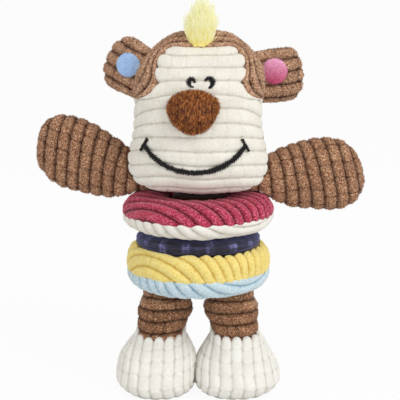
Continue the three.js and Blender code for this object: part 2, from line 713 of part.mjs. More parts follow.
function armRows(side, tilt, count) {
  const half = ARM_WIDTH / 2;
  const thick = ARM_THICKNESS / 2;
  const root = ARM_ROOT_WIDTH / 2;
  const bend = Math.tan(rad(ARM_ROOT_TILT)) - Math.tan(rad(tilt));
  const elbow = ARM_LENGTH * 0.135;
  const stations = [
    [0, root, ARM_ROOT],
    [elbow, root * 1.25, thick * 0.44],
    [ARM_LENGTH * 0.29, half * 0.5, thick * 0.68],
    [ARM_LENGTH * 0.4, half * 0.75, thick * 0.88],
    [ARM_LENGTH * 0.55, half * 0.95, thick],
    [ARM_LENGTH * 0.69, half, thick],
    [ARM_LENGTH * 0.82, half * 0.95, thick * 0.92],
    [ARM_LENGTH * 0.93, half * 0.68, thick * 0.66],
    [ARM_LENGTH * 0.985, half * 0.3, thick * 0.3],
    [ARM_LENGTH, 0, 0],
  ].map(([along, width, depth]) => [along, width, -depth, depth, bend * Math.min(along, elbow)]);
  return [...rolledRows(ARM_ROOT, root, 2), ...smoothRows(stations, count)];
}

function arm(name, { side, tilt }, neighbours) {
  const group = new THREE.Group();
  const torsoSide = Math.sqrt(TORSO_RADIUS ** 2 - ARM_BACK ** 2);
  const reach = torsoSide + SEAM_GAP + ARM_ROOT;
  group.position.set(side * reach, ARM_BACK, RING_TOP + ARM_RISE);
  group.rotation.set(0, -side * rad(tilt), side * rad(ARM_SWEEP), "ZYX");
  const along = new THREE.Vector3(side, 0, 0);
  const up = new THREE.Vector3(0, 0, 1);
  const clear = neighbours.map(({ made, from }) => carried(made, from, group));
  const cleared = (made) => clear.reduce((left, cut) => left.subtract(cut), made);
  const form = (rows, sides, inset) =>
    solid(laid(stuffed(armRows(side, tilt, rows), sides, 2.2, inset), along, up));
  const wall = cleared(form(10, 12, 0).subtract(form(8, 10, CLOTH)));
  group.add(
    piece(`${name}_arm_front`, wall.intersect(slab({ y: [-FAR, -SEAM_GAP / 2] })), BROWN),
    piece(`${name}_arm_back`, wall.intersect(slab({ y: [SEAM_GAP / 2, FAR] })), BROWN),
    piece(`${name}_arm_stuffing`, cleared(form(8, 10, CLOTH + SEAM_GAP)), FILL),
  );
  return group;
}

// The toy

const monkey = new THREE.Group();
monkey.add(leg("left", 1), leg("right", -1));
const rings = {};
for (const [name, size] of Object.entries(RINGS)) {
  rings[name] = ring(name, size, ringHeights[name]);
  monkey.add(rings[name]);
}
const neckGroup = neck();
monkey.add(neckGroup);
const headGroup = head(neckGroup);
monkey.add(headGroup);
const underHead = carried(headForm(14, 22, -NOD_CLEARANCE), headGroup, monkey);
monkey.add(torso(underHead));
const faceClear = headForm(14, 22, -SEAM_GAP);
headGroup.add(...nose(faceClear), eye("left_eye", 1), eye("right_eye", -1), smile(), tuft(faceClear));
for (const [name, size] of Object.entries(EARS)) ear(name, size, faceClear, headGroup);
const upperRing = ringSection(RINGS.upper, ARM_CLEARANCE, 0, 2 * Math.PI, 14);
const besideArms = [
  { made: headSweep(), from: headGroup },
  { made: turned(upperRing, 32), from: rings.upper },
];
for (const [name, size] of Object.entries(ARMS)) monkey.add(arm(name, size, besideArms));

// The origin is on the floor, under the middle of the toy's box.
const box = new THREE.Box3().setFromObject(monkey, true);
const middle = box.getCenter(new THREE.Vector3());
monkey.children.forEach((child) => child.position.sub(new THREE.Vector3(middle.x, middle.y, box.min.z)));

export default monkey;
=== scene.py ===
import json
import math

import bmesh
import bpy
import numpy as np
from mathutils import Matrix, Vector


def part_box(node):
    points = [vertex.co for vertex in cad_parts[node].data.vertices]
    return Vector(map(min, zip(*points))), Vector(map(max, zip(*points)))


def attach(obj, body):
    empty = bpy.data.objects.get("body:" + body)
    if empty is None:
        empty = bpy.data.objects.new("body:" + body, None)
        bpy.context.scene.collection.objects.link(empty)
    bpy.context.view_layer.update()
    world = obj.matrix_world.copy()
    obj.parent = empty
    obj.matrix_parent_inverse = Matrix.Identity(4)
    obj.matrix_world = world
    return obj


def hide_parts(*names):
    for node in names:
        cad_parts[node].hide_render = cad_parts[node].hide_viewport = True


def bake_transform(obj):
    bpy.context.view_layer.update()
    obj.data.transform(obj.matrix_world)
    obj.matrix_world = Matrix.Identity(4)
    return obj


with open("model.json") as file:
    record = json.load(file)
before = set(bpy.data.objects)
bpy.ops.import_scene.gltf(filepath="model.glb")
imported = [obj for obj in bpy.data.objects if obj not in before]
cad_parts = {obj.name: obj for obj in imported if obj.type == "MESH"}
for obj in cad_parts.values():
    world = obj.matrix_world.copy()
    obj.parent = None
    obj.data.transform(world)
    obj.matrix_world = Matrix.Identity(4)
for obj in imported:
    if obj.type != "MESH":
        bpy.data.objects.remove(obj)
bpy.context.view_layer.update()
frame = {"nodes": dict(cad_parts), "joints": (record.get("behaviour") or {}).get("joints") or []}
print("frame loaded,", len(frame["nodes"]), "parts")

mm = 0.001  # forms are worked out in millimetres and stored in metres
fullTurn = 2 * math.pi
white = (1, 1, 1, 1)
scene = bpy.context.scene
scene.view_settings.view_transform = "Standard"
joints = {joint["name"]: joint for joint in frame["joints"]}


def jointPlace(name):
    return np.array(joints[name]["pos_m"]) / mm


toyAxis = jointPlace("upper_ring_spin")[:2]  # the line that the rings are threaded on
chin = np.array([*toyAxis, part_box("face_panel")[0].z / mm])


# Objects and nodes

def linked(name, data):
    made = bpy.data.objects.new(name, data)
    scene.collection.objects.link(made)
    return made


def setInputs(tree, node, inputs):
    for key, value in inputs.items():
        if isinstance(value, bpy.types.NodeSocket):
            tree.links.new(value, node.inputs[key])
        else:
            node.inputs[key].default_value = value


def addNode(tree, kind, inputs=None, **settings):
    node = tree.nodes.new(kind)
    for key, value in settings.items():
        setattr(node, key, value)
    setInputs(tree, node, inputs or {})
    return node


# The first socket that a new node gives out
def fed(tree, kind, inputs=None, **settings):
    return addNode(tree, kind, inputs, **settings).outputs[0]


# Camera, light and floor

view = {
    "target": (-0.0002, 0.0004, 0.124), "distance": 0.8, "elevation": 10.5, "lens": 110.8, "sensor": 36,
    "background": 1.0, "ambient": 0.68, "ambientTint": (1, 0.99, 0.975, 1), "aim": (0, 0, 0.12),
    "keyLight": {"place": (0.8, -0.85, 1.0), "size": 0.9, "power": 8.5},
    "fillLight": {"place": (-0.85, -0.75, 0.55), "size": 1.0, "power": 1.6},
    "floor": 30, "paper": (0.86, 0.86, 0.86, 1), "paperWhite": 0.93,
}


def areaLight(name, place, size, power):
    lamp = bpy.data.lights.new(name, "AREA")
    lamp.shape = "DISK"
    lamp.size = size
    lamp.energy = power
    holder = linked(name, lamp)
    holder.location = place
    towards = np.array(view["aim"]) - np.array(place)
    flat = math.hypot(towards[0], towards[1])
    holder.rotation_euler = (math.atan2(flat, -towards[2]), 0, math.atan2(-towards[0], towards[1]))


# The camera sees one shader, or a share of it, and the toy is lit by the other
def splitByCamera(tree, output, lit, seen, share=None):
    factor = addNode(tree, "ShaderNodeLightPath").outputs["Is Camera Ray"]
    if share:
        factor = fed(tree, "ShaderNodeMath", {0: factor, 1: share}, operation="MULTIPLY")
    addNode(tree, output, {0: fed(tree, "ShaderNodeMixShader", {0: factor, 1: lit, 2: seen})})


def emptyTree(owner):
    owner.use_nodes = True
    owner.node_tree.nodes.clear()
    return owner.node_tree


def setStage():
    tilt = math.radians(view["elevation"])
    lens = bpy.data.cameras.new("photoCamera")
    lens.sensor_width = view["sensor"]
    lens.lens = view["lens"]
    lens.clip_end = 100
    camera = linked("photoCamera", lens)
    x, y, z = view["target"]
    far = view["distance"]
    camera.location = (x, y - far * math.cos(tilt), z + far * math.sin(tilt))
    camera.rotation_euler = (math.pi / 2 - tilt, 0, 0)
    scene.camera = camera
    for name in ("keyLight", "fillLight"):
        areaLight(name, **view[name])
    scene.world = bpy.data.worlds.new("studio")
    tree = emptyTree(scene.world)
    seen = fed(tree, "ShaderNodeBackground", {"Strength": view["background"], "Color": white})
    lit = fed(tree, "ShaderNodeBackground", {"Strength": view["ambient"], "Color": view["ambientTint"]})
    splitByCamera(tree, "ShaderNodeOutputWorld", lit, seen)
    reach = view["floor"]
    mesh = bpy.data.meshes.new("floor")
    corners = [(-reach, -reach, 0), (reach, -reach, 0), (reach, reach, 0), (-reach, reach, 0)]
    mesh.from_pydata(corners, [], [(0, 1, 2, 3)])
    paper = bpy.data.materials.new("whitePaper")
    tree = emptyTree(paper)
    lit = fed(tree, "ShaderNodeBsdfDiffuse", {"Color": view["paper"]})
    seen = fed(tree, "ShaderNodeEmission")
    splitByCamera(tree, "ShaderNodeOutputMaterial", lit, seen, view["paperWhite"])
    mesh.materials.append(paper)
    linked("floor", mesh)


setStage()
print("camera, light and floor set")


# Cloth: materials

def srgb(red, green, blue):
    linear = []
    for value in (red, green, blue):
        share = value / 255
        linear.append(share / 12.92 if share <= 0.04045 else ((share + 0.055) / 1.055) ** 2.4)
    return (*linear, 1.0)


def grey(tone):
    return (tone, tone, tone, 1)


def newMaterial(name):
    material = bpy.data.materials.new(name)
    material.use_nodes = True
    tree = material.node_tree
    return material, tree, tree.nodes["Principled BSDF"]


def objectPlace(tree):
    return addNode(tree, "ShaderNodeTexCoord").outputs["Object"]


# size is in millimetres
def noise(tree, where, size, detail=2.0, roughness=0.6):
    inputs = {"Vector": where, "Scale": 1 / (size * mm), "Detail": detail, "Roughness": roughness}
    return addNode(tree, "ShaderNodeTexNoise", inputs).outputs["Fac"]


def ramp(tree, source, *stops):
    node = addNode(tree, "ShaderNodeValToRGB", {0: source})
    elements = node.color_ramp.elements
    while len(elements) < len(stops):
        elements.new(0.5)
    for element, (place, colour) in zip(elements, stops):
        element.position = place
        element.color = colour
    return node.outputs[0]


def mix(tree, share, first, second, blend="MIX"):
    inputs = {0: share, 6: first, 7: second}
    return addNode(tree, "ShaderNodeMix", inputs, data_type="RGBA", blend_type=blend).outputs[2]


def bump(tree, height, strength, distance):
    inputs = {"Strength": strength, "Distance": distance * mm, "Height": height}
    return fed(tree, "ShaderNodeBump", inputs)


# Pile from dark to light, under clouds where it is worn
def speckled(tree, where, speckle, tones, spread, clouds, shade):
    stops = [(0.5 + step * spread, srgb(*tone)) for step, tone in zip((-1, 0, 1), tones)]
    cloud = ramp(tree, noise(tree, where, clouds), (0.3, shade), (0.7, white))
    return mix(tree, 0.7, ramp(tree, speckle, *stops), cloud, "MULTIPLY")


# grain is the size of the speckle; the groove colour is painted shade laid between the ribs, and wide sets
# how far up them it goes
def corduroy(name, tones, grooveShade, grain=1.1, sheen=0.25, nap=0.5, wide=0.55, spread=0.14):
    material, tree, shader = newMaterial(name)
    where = objectPlace(tree)
    speckle = noise(tree, where, grain, 3.0, 0.65)
    pileTone = speckled(tree, where, speckle, tones, spread, 14, (0.86, 0.85, 0.84, 1))
    rib = addNode(tree, "ShaderNodeAttribute", attribute_name="rib").outputs["Fac"]
    # painted shade: the sides of the ribs, and the creases that the rib attribute carries, darken towards the
    # groove colour
    depth = ramp(tree, rib, (0.0, white), (wide * 0.4, grey(0.5)), (wide, grey(0)))
    fine = noise(tree, where, grain * 0.55, 4.0, 0.7)
    setInputs(tree, shader, {
        "Base Color": mix(tree, depth, pileTone, srgb(*grooveShade)), "Normal": bump(tree, fine, nap, 0.6),
        "Roughness": 0.95, "Specular IOR Level": 0.15, "Sheen Weight": sheen, "Sheen Roughness": 0.45})
    return material


# glow stands for light that is passed on between the fibres, drawn below 1 combs a long nap downwards
def pileCloth(name, tones, grain=1.0, sheen=0.3, roughness=0.9, glow=0.0, spread=0.2, drawn=1.0,
              paintedShadeTone=None, node=None):
    material, tree, shader = newMaterial(name)
    where = objectPlace(tree)
    comb = fed(tree, "ShaderNodeMapping", {"Vector": where, "Scale": (1, 1, drawn)})
    speckle = noise(tree, comb, grain, 3.0, 0.6)
    pileTone = speckled(tree, where, speckle, tones, spread, 9, (0.84, 0.83, 0.82, 1))
    if node:  # painted shade: the colour darkens towards the foot of the named part, where its dome turns away from the light
        low, high = (corner.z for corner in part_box(node))
        split = addNode(tree, "ShaderNodeSeparateXYZ", {0: where})
        inputs = {"Value": split.outputs["Z"], "From Min": low, "From Max": high, "To Min": 1.0, "To Max": 0}
        pileTone = mix(tree, fed(tree, "ShaderNodeMapRange", inputs), pileTone, srgb(*paintedShadeTone))
    fine = noise(tree, where, grain * 0.5, 4.0, 0.7)
    setInputs(tree, shader, {
        "Base Color": pileTone, "Emission Color": pileTone, "Emission Strength": glow,
        "Normal": bump(tree, fine, 0.5, 0.5),
        "Roughness": roughness, "Specular IOR Level": 0.2, "Sheen Weight": sheen})
    return material


# Silky fur lets light through, and pales from the root to the tip; its faint emission is painted light,
# standing for light passed on between the strands
def furCloth(name, root, tip):
    material, tree, shader = newMaterial(name)
    along = addNode(tree, "ShaderNodeAttribute", attribute_name="tip").outputs["Fac"]
    tone = ramp(tree, along, (0.05, srgb(*root)), (0.75, srgb(*tip)))
    setInputs(tree, shader, {
        "Base Color": tone, "Emission Color": tone, "Emission Strength": 0.16, "Roughness": 0.6})
    glow = fed(tree, "ShaderNodeBsdfTranslucent", {"Color": tone})
    mixed = fed(tree, "ShaderNodeMixShader", {0: 0.3, 1: shader.outputs[0], 2: glow})
    tree.links.new(mixed, tree.nodes["Material Output"].inputs["Surface"])
    return material


# Woven check: bars of lighter threads both ways, on the cloth's own coordinates in millimetres
def checkCloth(name, pitch):
    material, tree, shader = newMaterial(name)
    spot = fed(tree, "ShaderNodeUVMap", uv_map="weave")
    split = addNode(tree, "ShaderNodeSeparateXYZ", {0: spot}).outputs
    tones = ((0.0, 0.1), (0.26, 0.0), (0.4, 0.8), (0.5, 0.5), (0.6, 1.0), (0.76, 0.0), (1.0, 0.1))
    bars = []
    for axis, apart, strength in ((0, pitch, 0.85), (1, pitch * 0.4, 0.5)):
        share = fed(tree, "ShaderNodeMath", {0: split[axis], 1: apart}, operation="DIVIDE")
        place = fed(tree, "ShaderNodeMath", {0: share}, operation="FRACT")
        bars.append(ramp(tree, place, *((at, grey(tone * strength)) for at, tone in tones)))
    where = objectPlace(tree)
    faint = ramp(tree, noise(tree, where, 9, 2.0, 0.5), (0.38, grey(0.3)), (0.62, white))
    both = mix(tree, 1.0, mix(tree, 1.0, *bars, "ADD"), faint, "MULTIPLY")
    tone = ramp(tree, both, (0.0, srgb(30, 26, 36)), (0.5, srgb(60, 58, 86)), (1.0, srgb(124, 126, 178)))
    yarn = ramp(tree, noise(tree, where, 1.1, 3.0), (0.3, (0.7, 0.7, 0.72, 1)), (0.7, grey(1.15)))
    spun = mix(tree, 1.0, tone, yarn, "MULTIPLY")
    drawn = fed(tree, "ShaderNodeMapping", {"Vector": spot, "Scale": (0.1, 1.1, 1)})  # round the ring
    streak = addNode(tree, "ShaderNodeTexNoise", {"Vector": drawn, "Scale": 1.0, "Detail": 2.0})
    lines = ramp(tree, streak.outputs["Fac"], (0.32, (0.5, 0.5, 0.54, 1)), (0.66, grey(1.4)))
    inputs = {"Vector": spot, "Scale": 0.9, "Distortion": 1.0}
    weave = addNode(tree, "ShaderNodeTexWave", inputs, bands_direction="DIAGONAL").outputs["Fac"]
    setInputs(tree, shader, {
        "Base Color": mix(tree, 1.0, spun, lines, "MULTIPLY"), "Normal": bump(tree, weave, 0.35, 0.3),
        "Roughness": 0.85, "Sheen Weight": 0.9, "Sheen Roughness": 0.4, "Sheen Tint": srgb(150, 158, 226)})
    return material


def squeakerPlastic(name):
    material, tree, shader = newMaterial(name)
    cloudy = noise(tree, objectPlace(tree), 6)
    tone = ramp(tree, cloudy, (0.3, srgb(214, 220, 224)), (0.7, srgb(230, 234, 236)))
    setInputs(tree, shader, {"Base Color": tone, "Roughness": 0.4})
    return material


# three ways that corduroy is finished; wide sets how far up the ribs the painted groove shade reaches
shaggy = {"grain": 0.95, "wide": 0.9, "spread": 0.17}
smooth = {"grain": 0.8, "sheen": 0.15, "nap": 0.25}
fresh = {"grain": 0.9, "nap": 0.35}
checkPitch = 16  # millimetres from one check to the next
# the second colour given to each corduroy is the painted shade in its grooves and creases
cloth = {
    "brown": corduroy("brownCorduroy", ((108, 62, 32), (186, 138, 104), (252, 214, 180)), (60, 22, 4),
                      **shaggy),
    "legBrown": corduroy("legCorduroy", ((92, 50, 24), (164, 116, 84), (234, 190, 152)), (44, 14, 2),
                         **shaggy),
    # painted shadow: a dark brown for the torso and neck, which show only in the shade under the head
    "shadowBrown": corduroy("shadowedCoreCorduroy", ((36, 18, 12), (62, 36, 24), (96, 64, 46)), (20, 6, 2), grain=0.95),
    "tan": corduroy("tanCorduroy", ((126, 82, 54), (194, 150, 118), (250, 218, 190)), (62, 26, 8), **shaggy),
    "cream": corduroy("creamCorduroy", ((232, 227, 212), (240, 237, 226), (247, 245, 237)), (196, 191, 176),
                      **smooth),
    "footCream": corduroy("footCorduroy", ((241, 237, 226), (248, 246, 239), (252, 251, 247)),
                          (206, 202, 190), **smooth),
    "pink": corduroy("pinkCorduroy", ((138, 24, 44), (190, 60, 88), (246, 140, 164)), (76, 2, 18),
                     grain=1.0, wide=0.85, spread=0.19),
    "white": corduroy("whiteCorduroy", ((234, 229, 219), (243, 240, 232), (250, 248, 242)), (200, 194, 181),
                      **smooth),
    "yellow": corduroy("yellowCorduroy", ((238, 208, 108), (247, 226, 136), (252, 240, 166)), (206, 168, 70),
                       **fresh),
    "blue": corduroy("blueCorduroy", ((176, 207, 222), (205, 226, 235), (232, 243, 247)), (132, 170, 194),
                     **fresh),
    "navy": checkCloth("navyCheck", checkPitch),
    "nose": pileCloth("nosePlush", ((70, 24, 0), (166, 92, 32), (240, 164, 86)), 1.3, spread=0.12,
                      drawn=0.35),
    # the pink patch is darkened towards its foot with painted shade
    "pinkPatch": pileCloth("pinkPlush", ((246, 150, 200), (255, 196, 228), (255, 226, 240)), glow=0.05,
                           spread=0.3, paintedShadeTone=(214, 62, 122), node="left_ear_patch"),
    "bluePatch": pileCloth("bluePlush", ((180, 212, 252), (196, 224, 255), (214, 236, 255)), 0.9, glow=0.08),
    "thread": pileCloth("blackThread", ((14, 13, 14), (22, 21, 22), (40, 38, 40)), 0.5, 0.1, 0.55),
    "fur": furCloth("yellowFur", (255, 245, 152), (255, 254, 226)),
    "wool": pileCloth("yellowWool", ((254, 232, 128), (255, 242, 152), (255, 248, 186)), 1.6, glow=0.12),
    "plastic": squeakerPlastic("squeakerPlastic"),
}


# Forms: smooth rows through stations, as the sewn panels run

def smoothRows(stations, places):
    table = np.array(stations, float)
    slope = np.empty_like(table)
    slope[1:-1] = (table[2:] - table[:-2]) / 2
    slope[0], slope[-1] = table[1] - table[0], table[-1] - table[-2]
    low = np.clip(places.astype(int), 0, len(table) - 2)
    t = (places - low)[:, None]
    a, b, m, n = table[low], table[low + 1], slope[low], slope[low + 1]
    begun = a * (1 + 2 * t) * (1 - t) ** 2
    return begun + b * t * t * (3 - 2 * t) + m * t * (1 - t) ** 2 - n * t * t * (1 - t)


# Length of the cloth from its first point on
def runOf(points, axis=0):
    step = np.linalg.norm(np.diff(points, axis=axis), axis=-1)
    return np.concatenate([np.zeros_like(np.take(step, [0], axis)), np.cumsum(step, axis)], axis)


def edgeDistance(grid, axis):
    run = runOf(grid, axis)
    return np.minimum(run, np.take(run, [-1], axis) - run)


def columnsAt(wanted, places, table):
    return np.stack([np.interp(wanted, places, column) for column in table.T], 1)


def resampled(points, count):
    length = runOf(points)
    return columnsAt(np.linspace(0, length[-1], count), length, points)


def evenRows(stations, spacing):
    rows = smoothRows(stations, np.linspace(0, len(stations) - 1, 1200))
    length = runOf(rows[:, :3])
    return columnsAt(np.linspace(0, length[-1], int(length[-1] / spacing) + 2), length, rows)


def rounded(value, fullness):
    return np.sign(value) * np.abs(value) ** (2 / fullness)


def smoothStep(value, low, high):
    t = np.clip((value - low) / (high - low), 0, 1)
    return t * t * (3 - 2 * t)


def bell(value, width):
    return np.exp(-((value / width) ** 2))


def unit(vectors):
    return vectors / np.maximum(np.linalg.norm(vectors, axis=-1, keepdims=True), 1e-9)


def roundTurn(columns):
    return np.linspace(0, fullTurn, columns, endpoint=False)[None]


# Rows turned round the upright axis
def spunGrid(wide, deep, height, columns):
    turn = roundTurn(columns)
    return np.stack([wide * np.cos(turn), deep * np.sin(turn), height + 0 * turn], -1)


def hashed(number, seed=0):
    return np.modf(np.abs(np.sin(number * 12.9898 + seed * 78.233) * 43758.5453))[0]


def softNoise(points, size, seed):
    places = points / size
    cell = np.floor(places).astype(np.int64)
    t = places - cell
    t = t * t * (3 - 2 * t)
    total = np.zeros(points.shape[:-1])
    for corner in range(8):
        step = np.array([corner & 1, corner >> 1 & 1, corner >> 2 & 1])
        x, y, z = np.moveaxis(cell + step, -1, 0)
        mixed = (x * 73856093) ^ (y * 19349663) ^ (z * 83492791) ^ (seed * 2654435761)
        mixed = (mixed & 0xFFFFFFFF) * 1274126177 & 0xFFFFFFFF
        mixed = (mixed ^ (mixed >> 15)) * 2246822519 & 0xFFFFFFFF
        value = (mixed ^ (mixed >> 13)) / 0xFFFFFFFF
        total += value * np.prod(np.where(step == 1, t, 1 - t), axis=-1)
    return total * 2 - 1


def gridNormals(grid, wrapped=True):
    if wrapped:
        across = np.roll(grid, -1, 1) - np.roll(grid, 1, 1)
    else:
        across = np.gradient(grid, axis=1)
    normals = unit(np.cross(across, np.gradient(grid, axis=0)))
    outwards = grid - grid.mean(axis=(0, 1))
    return normals * np.sign((normals * outwards).sum())


def lifted(grid, normals, lift):
    return grid + normals * lift[..., None]


# Height of the ribs from 0 in the groove to 1 on the ridge, and the number of the rib
def ribs(place, pitch, sharp=2.4):
    share = place / pitch
    number = np.floor(share)
    return 1 - np.abs(2 * (share - number) - 1) ** sharp, number


# Creases across the ribs, where the cloth has been folded between them
def creases(place, number, pitch, width=0.8, drift=1.0):
    share = place / pitch + drift * hashed(number)
    return bell((0.5 - np.abs(share - np.floor(share) - 0.5)) * pitch, width)


# Uneven filling and nap, from rows of an amount, a size and a seed
def uneven(grid, noise):
    return sum(amount * softNoise(grid, size, seed) for amount, size, seed in noise)


# Lift of ribbed cloth with folds across it, and its tone, which paints shade into the grooves and the folds
def laid(grid, rib, number, across, piece):
    fold = creases(across, number, **piece["creases"])
    lift = piece["ribDepth"] * (rib - piece["level"]) - piece["foldDepth"] * fold * rib
    return lift + uneven(grid, piece["noise"]), np.clip(rib - piece["creaseShade"] * fold, 0, 1)


# Ribs at a place across them, which sways, with their lift and the tone that paints shade into grooves and
# folds
def ribbed(grid, place, across, piece, pitch=None):
    amount, size, seed = piece["sway"]
    place = place + softNoise(grid, size, seed) * amount
    rib, number = ribs(place, pitch or piece["pitch"], piece["sharp"])
    return rib, *laid(grid, rib, number, across, piece)


# Drawn in along a seam or a cut edge
def seamed(lift, edge, piece):
    return lift - piece["seam"] * bell(edge, piece["seamWidth"])


def storeNumbers(mesh, **values):
    for key, numbers in values.items():
        layer = mesh.attributes.new(key, "FLOAT", "POINT")
        layer.data.foreach_set("value", np.asarray(numbers, np.float32).ravel())


def storeVectors(mesh, **values):
    for key, vectors in values.items():
        layer = mesh.attributes.new(key, "FLOAT_VECTOR", "POINT")
        layer.data.foreach_set("vector", np.asarray(vectors, np.float32).ravel())


def pointsOf(mesh):
    spots = np.empty(len(mesh.vertices) * 3, np.float32)
    mesh.vertices.foreach_get("co", spots)
    return spots.reshape(-1, 3) / mm


def makeObject(name, points, faces, material, **values):
    mesh = bpy.data.meshes.new(name)
    mesh.from_pydata((points * mm).tolist(), [], faces)
    storeNumbers(mesh, **values)
    mesh.materials.append(material)
    clean = bmesh.new()
    clean.from_mesh(mesh)
    bmesh.ops.remove_doubles(clean, verts=clean.verts, dist=0.002 * mm)
    bmesh.ops.dissolve_degenerate(clean, edges=clean.edges, dist=0.002 * mm)
    bmesh.ops.recalc_face_normals(clean, faces=clean.faces)
    clean.to_mesh(mesh)
    clean.free()
    mesh.shade_smooth()
    return linked(name, mesh)


def quadsOf(rows, columns, wrapped=True):
    number = np.arange(rows * columns).reshape(rows, columns)
    low, high = number[:-1], number[1:]
    if wrapped:
        corners = (low, np.roll(low, -1, 1), np.roll(high, -1, 1), high)
    else:
        corners = (low[:, :-1], low[:, 1:], high[:, 1:], high[:, :-1])
    return np.stack(corners, -1).reshape(-1, 4).tolist()


# A form closed round its columns, with a point of cloth drawn together at each end
def closedForm(name, grid, material, **values):
    rows, columns = grid.shape[:2]
    points = np.concatenate([grid.reshape(-1, 3), [grid[0].mean(0)], [grid[-1].mean(0)]])
    faces = quadsOf(rows, columns)
    first, last = rows * columns, rows * columns + 1
    top = (rows - 1) * columns
    for j in range(columns):
        k = (j + 1) % columns
        faces += [[first, k, j], [last, top + j, top + k]]
    ended = {key: np.concatenate([v.ravel(), [v[0].mean()], [v[-1].mean()]]) for key, v in values.items()}
    return makeObject(name, points, faces, material, **ended)


# A panel of cloth with its back, which is coarser and bare of fibres, joined round the edge
def panel(name, outer, inner, material, stride=3, **values):
    rows, columns = outer.shape[:2]
    ups, overs = (np.unique(np.append(np.arange(0, count, stride), count - 1)) for count in (rows, columns))
    kept = np.ix_(ups, overs)
    back = inner[kept]
    points = np.concatenate([outer.reshape(-1, 3), back.reshape(-1, 3)])
    front = np.arange(rows * columns).reshape(rows, columns)
    behind = front.size + np.arange(back.size // 3).reshape(back.shape[:2])
    faces = quadsOf(rows, columns, False)
    faces += [[front.size + i for i in reversed(face)] for face in quadsOf(*behind.shape, False)]
    for lines, rears, cuts in ((front, behind, overs), (front.T, behind.T, ups)):
        for end in (0, -1):
            for k in range(len(cuts) - 1):
                run = lines[end, cuts[k]:cuts[k + 1] + 1]
                faces.append([*run.tolist(), *rears[end, k:k + 2][::-1].tolist()])
    full = {key: np.concatenate([v.ravel(), v[kept].ravel() * (key != "pile")]) for key, v in values.items()}
    return makeObject(name, points, faces, material, **full)


# bend gives the two bodies and the two places between which a piece bends; such a piece is only fixed where
# it stands, not attached to a body
def sew(made, body, nodes, bend=None):
    if bend:
        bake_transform(made)
    else:
        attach(made, body)
    if nodes:
        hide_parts(*nodes)
    return made


# Geometry nodes: trees with named inputs, and the plain mesh that they leave

def newTree(name, floats, seeded=True):
    tree = bpy.data.node_groups.new(name, "GeometryNodeTree")
    tree.interface.new_socket("Geometry", in_out="OUTPUT", socket_type="NodeSocketGeometry")
    kinds = {"Geometry": "Geometry", **{label: "Float" for label in floats}}
    if seeded:
        kinds["Seed"] = "Int"
    kinds["Material"] = "Material"
    for label, kind in kinds.items():
        tree.interface.new_socket(label, in_out="INPUT", socket_type="NodeSocket" + kind)
    return tree, tree.nodes.new("NodeGroupInput").outputs


def named(tree, key, kind="FLOAT"):
    return fed(tree, "GeometryNodeInputNamedAttribute", {"Name": key}, data_type=kind)


def times(tree, first, second):
    return fed(tree, "ShaderNodeMath", {0: first, 1: second}, operation="MULTIPLY")


def vectorOf(tree, x, y, z):
    return fed(tree, "ShaderNodeCombineXYZ", {0: x, 1: y, 2: z})


def randomNumber(tree, low, high, seed):
    inputs = {2: low, 3: high, "Seed": seed}
    return addNode(tree, "FunctionNodeRandomValue", inputs, data_type="FLOAT").outputs[1]


# A rotation with a random turn of its own, between two sets of angles
def unruly(tree, rotation, low, high, seed):
    inputs = {0: low, 1: high, "Seed": seed}
    angles = fed(tree, "FunctionNodeRandomValue", inputs, data_type="FLOAT_VECTOR")
    turn = fed(tree, "FunctionNodeEulerToRotation", {0: angles})
    return fed(tree, "FunctionNodeRotateRotation", {0: rotation, 1: turn}, rotation_space="LOCAL")


# A rotation that lays one axis along a vector and turns another towards a second vector
def aligned(tree, axis, vector, otherAxis, otherVector):
    first = fed(tree, "FunctionNodeAlignRotationToVector", {"Vector": vector}, axis=axis)
    inputs = {"Rotation": first, "Vector": otherVector}
    return fed(tree, "FunctionNodeAlignRotationToVector", inputs, axis=otherAxis, pivot_axis=axis)


def scattered(tree, given, density):
    inputs = {"Mesh": given["Geometry"], "Density": density, "Seed": given["Seed"]}
    return addNode(tree, "GeometryNodeDistributePointsOnFaces", inputs).outputs


def stood(tree, points, instance, rotation, scale):
    inputs = {"Points": points, "Instance": instance, "Rotation": rotation, "Scale": scale}
    return fed(tree, "GeometryNodeRealizeInstances", {0: fed(tree, "GeometryNodeInstanceOnPoints", inputs)})


def dyed(tree, given, geometry):
    inputs = {"Geometry": geometry, "Material": given["Material"]}
    addNode(tree, "NodeGroupOutput", {0: fed(tree, "GeometryNodeSetMaterial", inputs)})
    return tree


# Short fibres that stand on cloth: each is a thin spike, leaning its own way
def pileTree():
    tree, given = newTree("clothPile", ("Density", "Length", "Width", "Lean"))
    spots = scattered(tree, given, times(tree, given["Density"], named(tree, "pile")))
    inputs = {"Vertices": 3, "Radius Bottom": given["Width"], "Depth": given["Length"]}
    spike = fed(tree, "GeometryNodeMeshCone", inputs)
    less = times(tree, given["Lean"], -1.0)
    low, high = vectorOf(tree, less, less, -3.1), vectorOf(tree, given["Lean"], given["Lean"], 3.1)
    facing = unruly(tree, spots["Rotation"], low, high, 3)
    return dyed(tree, given, stood(tree, spots["Points"], spike, facing, randomNumber(tree, 0.55, 1.25, 8)))


# Stitches side by side along a path, each a thread as broad as the path says there
def stitchTree():
    tree, given = newTree("satinStitches", ("Spacing", "Thread"), seeded=False)
    line = fed(tree, "GeometryNodeMeshToCurve", {0: given["Geometry"]})
    even = fed(tree, "GeometryNodeResampleCurve", {"Curve": line, "Length": given["Spacing"]}, mode="LENGTH")
    strand = fed(tree, "GeometryNodeMeshUVSphere", {"Segments": 6, "Rings": 5, "Radius": 1.0})
    across, up = (named(tree, key, "FLOAT_VECTOR") for key in ("across", "up"))
    half, high = times(tree, named(tree, "broad"), 0.5), times(tree, given["Thread"], 1.25)
    size = vectorOf(tree, half, given["Thread"], high)
    laid = stood(tree, even, strand, aligned(tree, "X", across, "Z", up), size)
    return dyed(tree, given, fed(tree, "GeometryNodeSetShadeSmooth", {0: laid}))


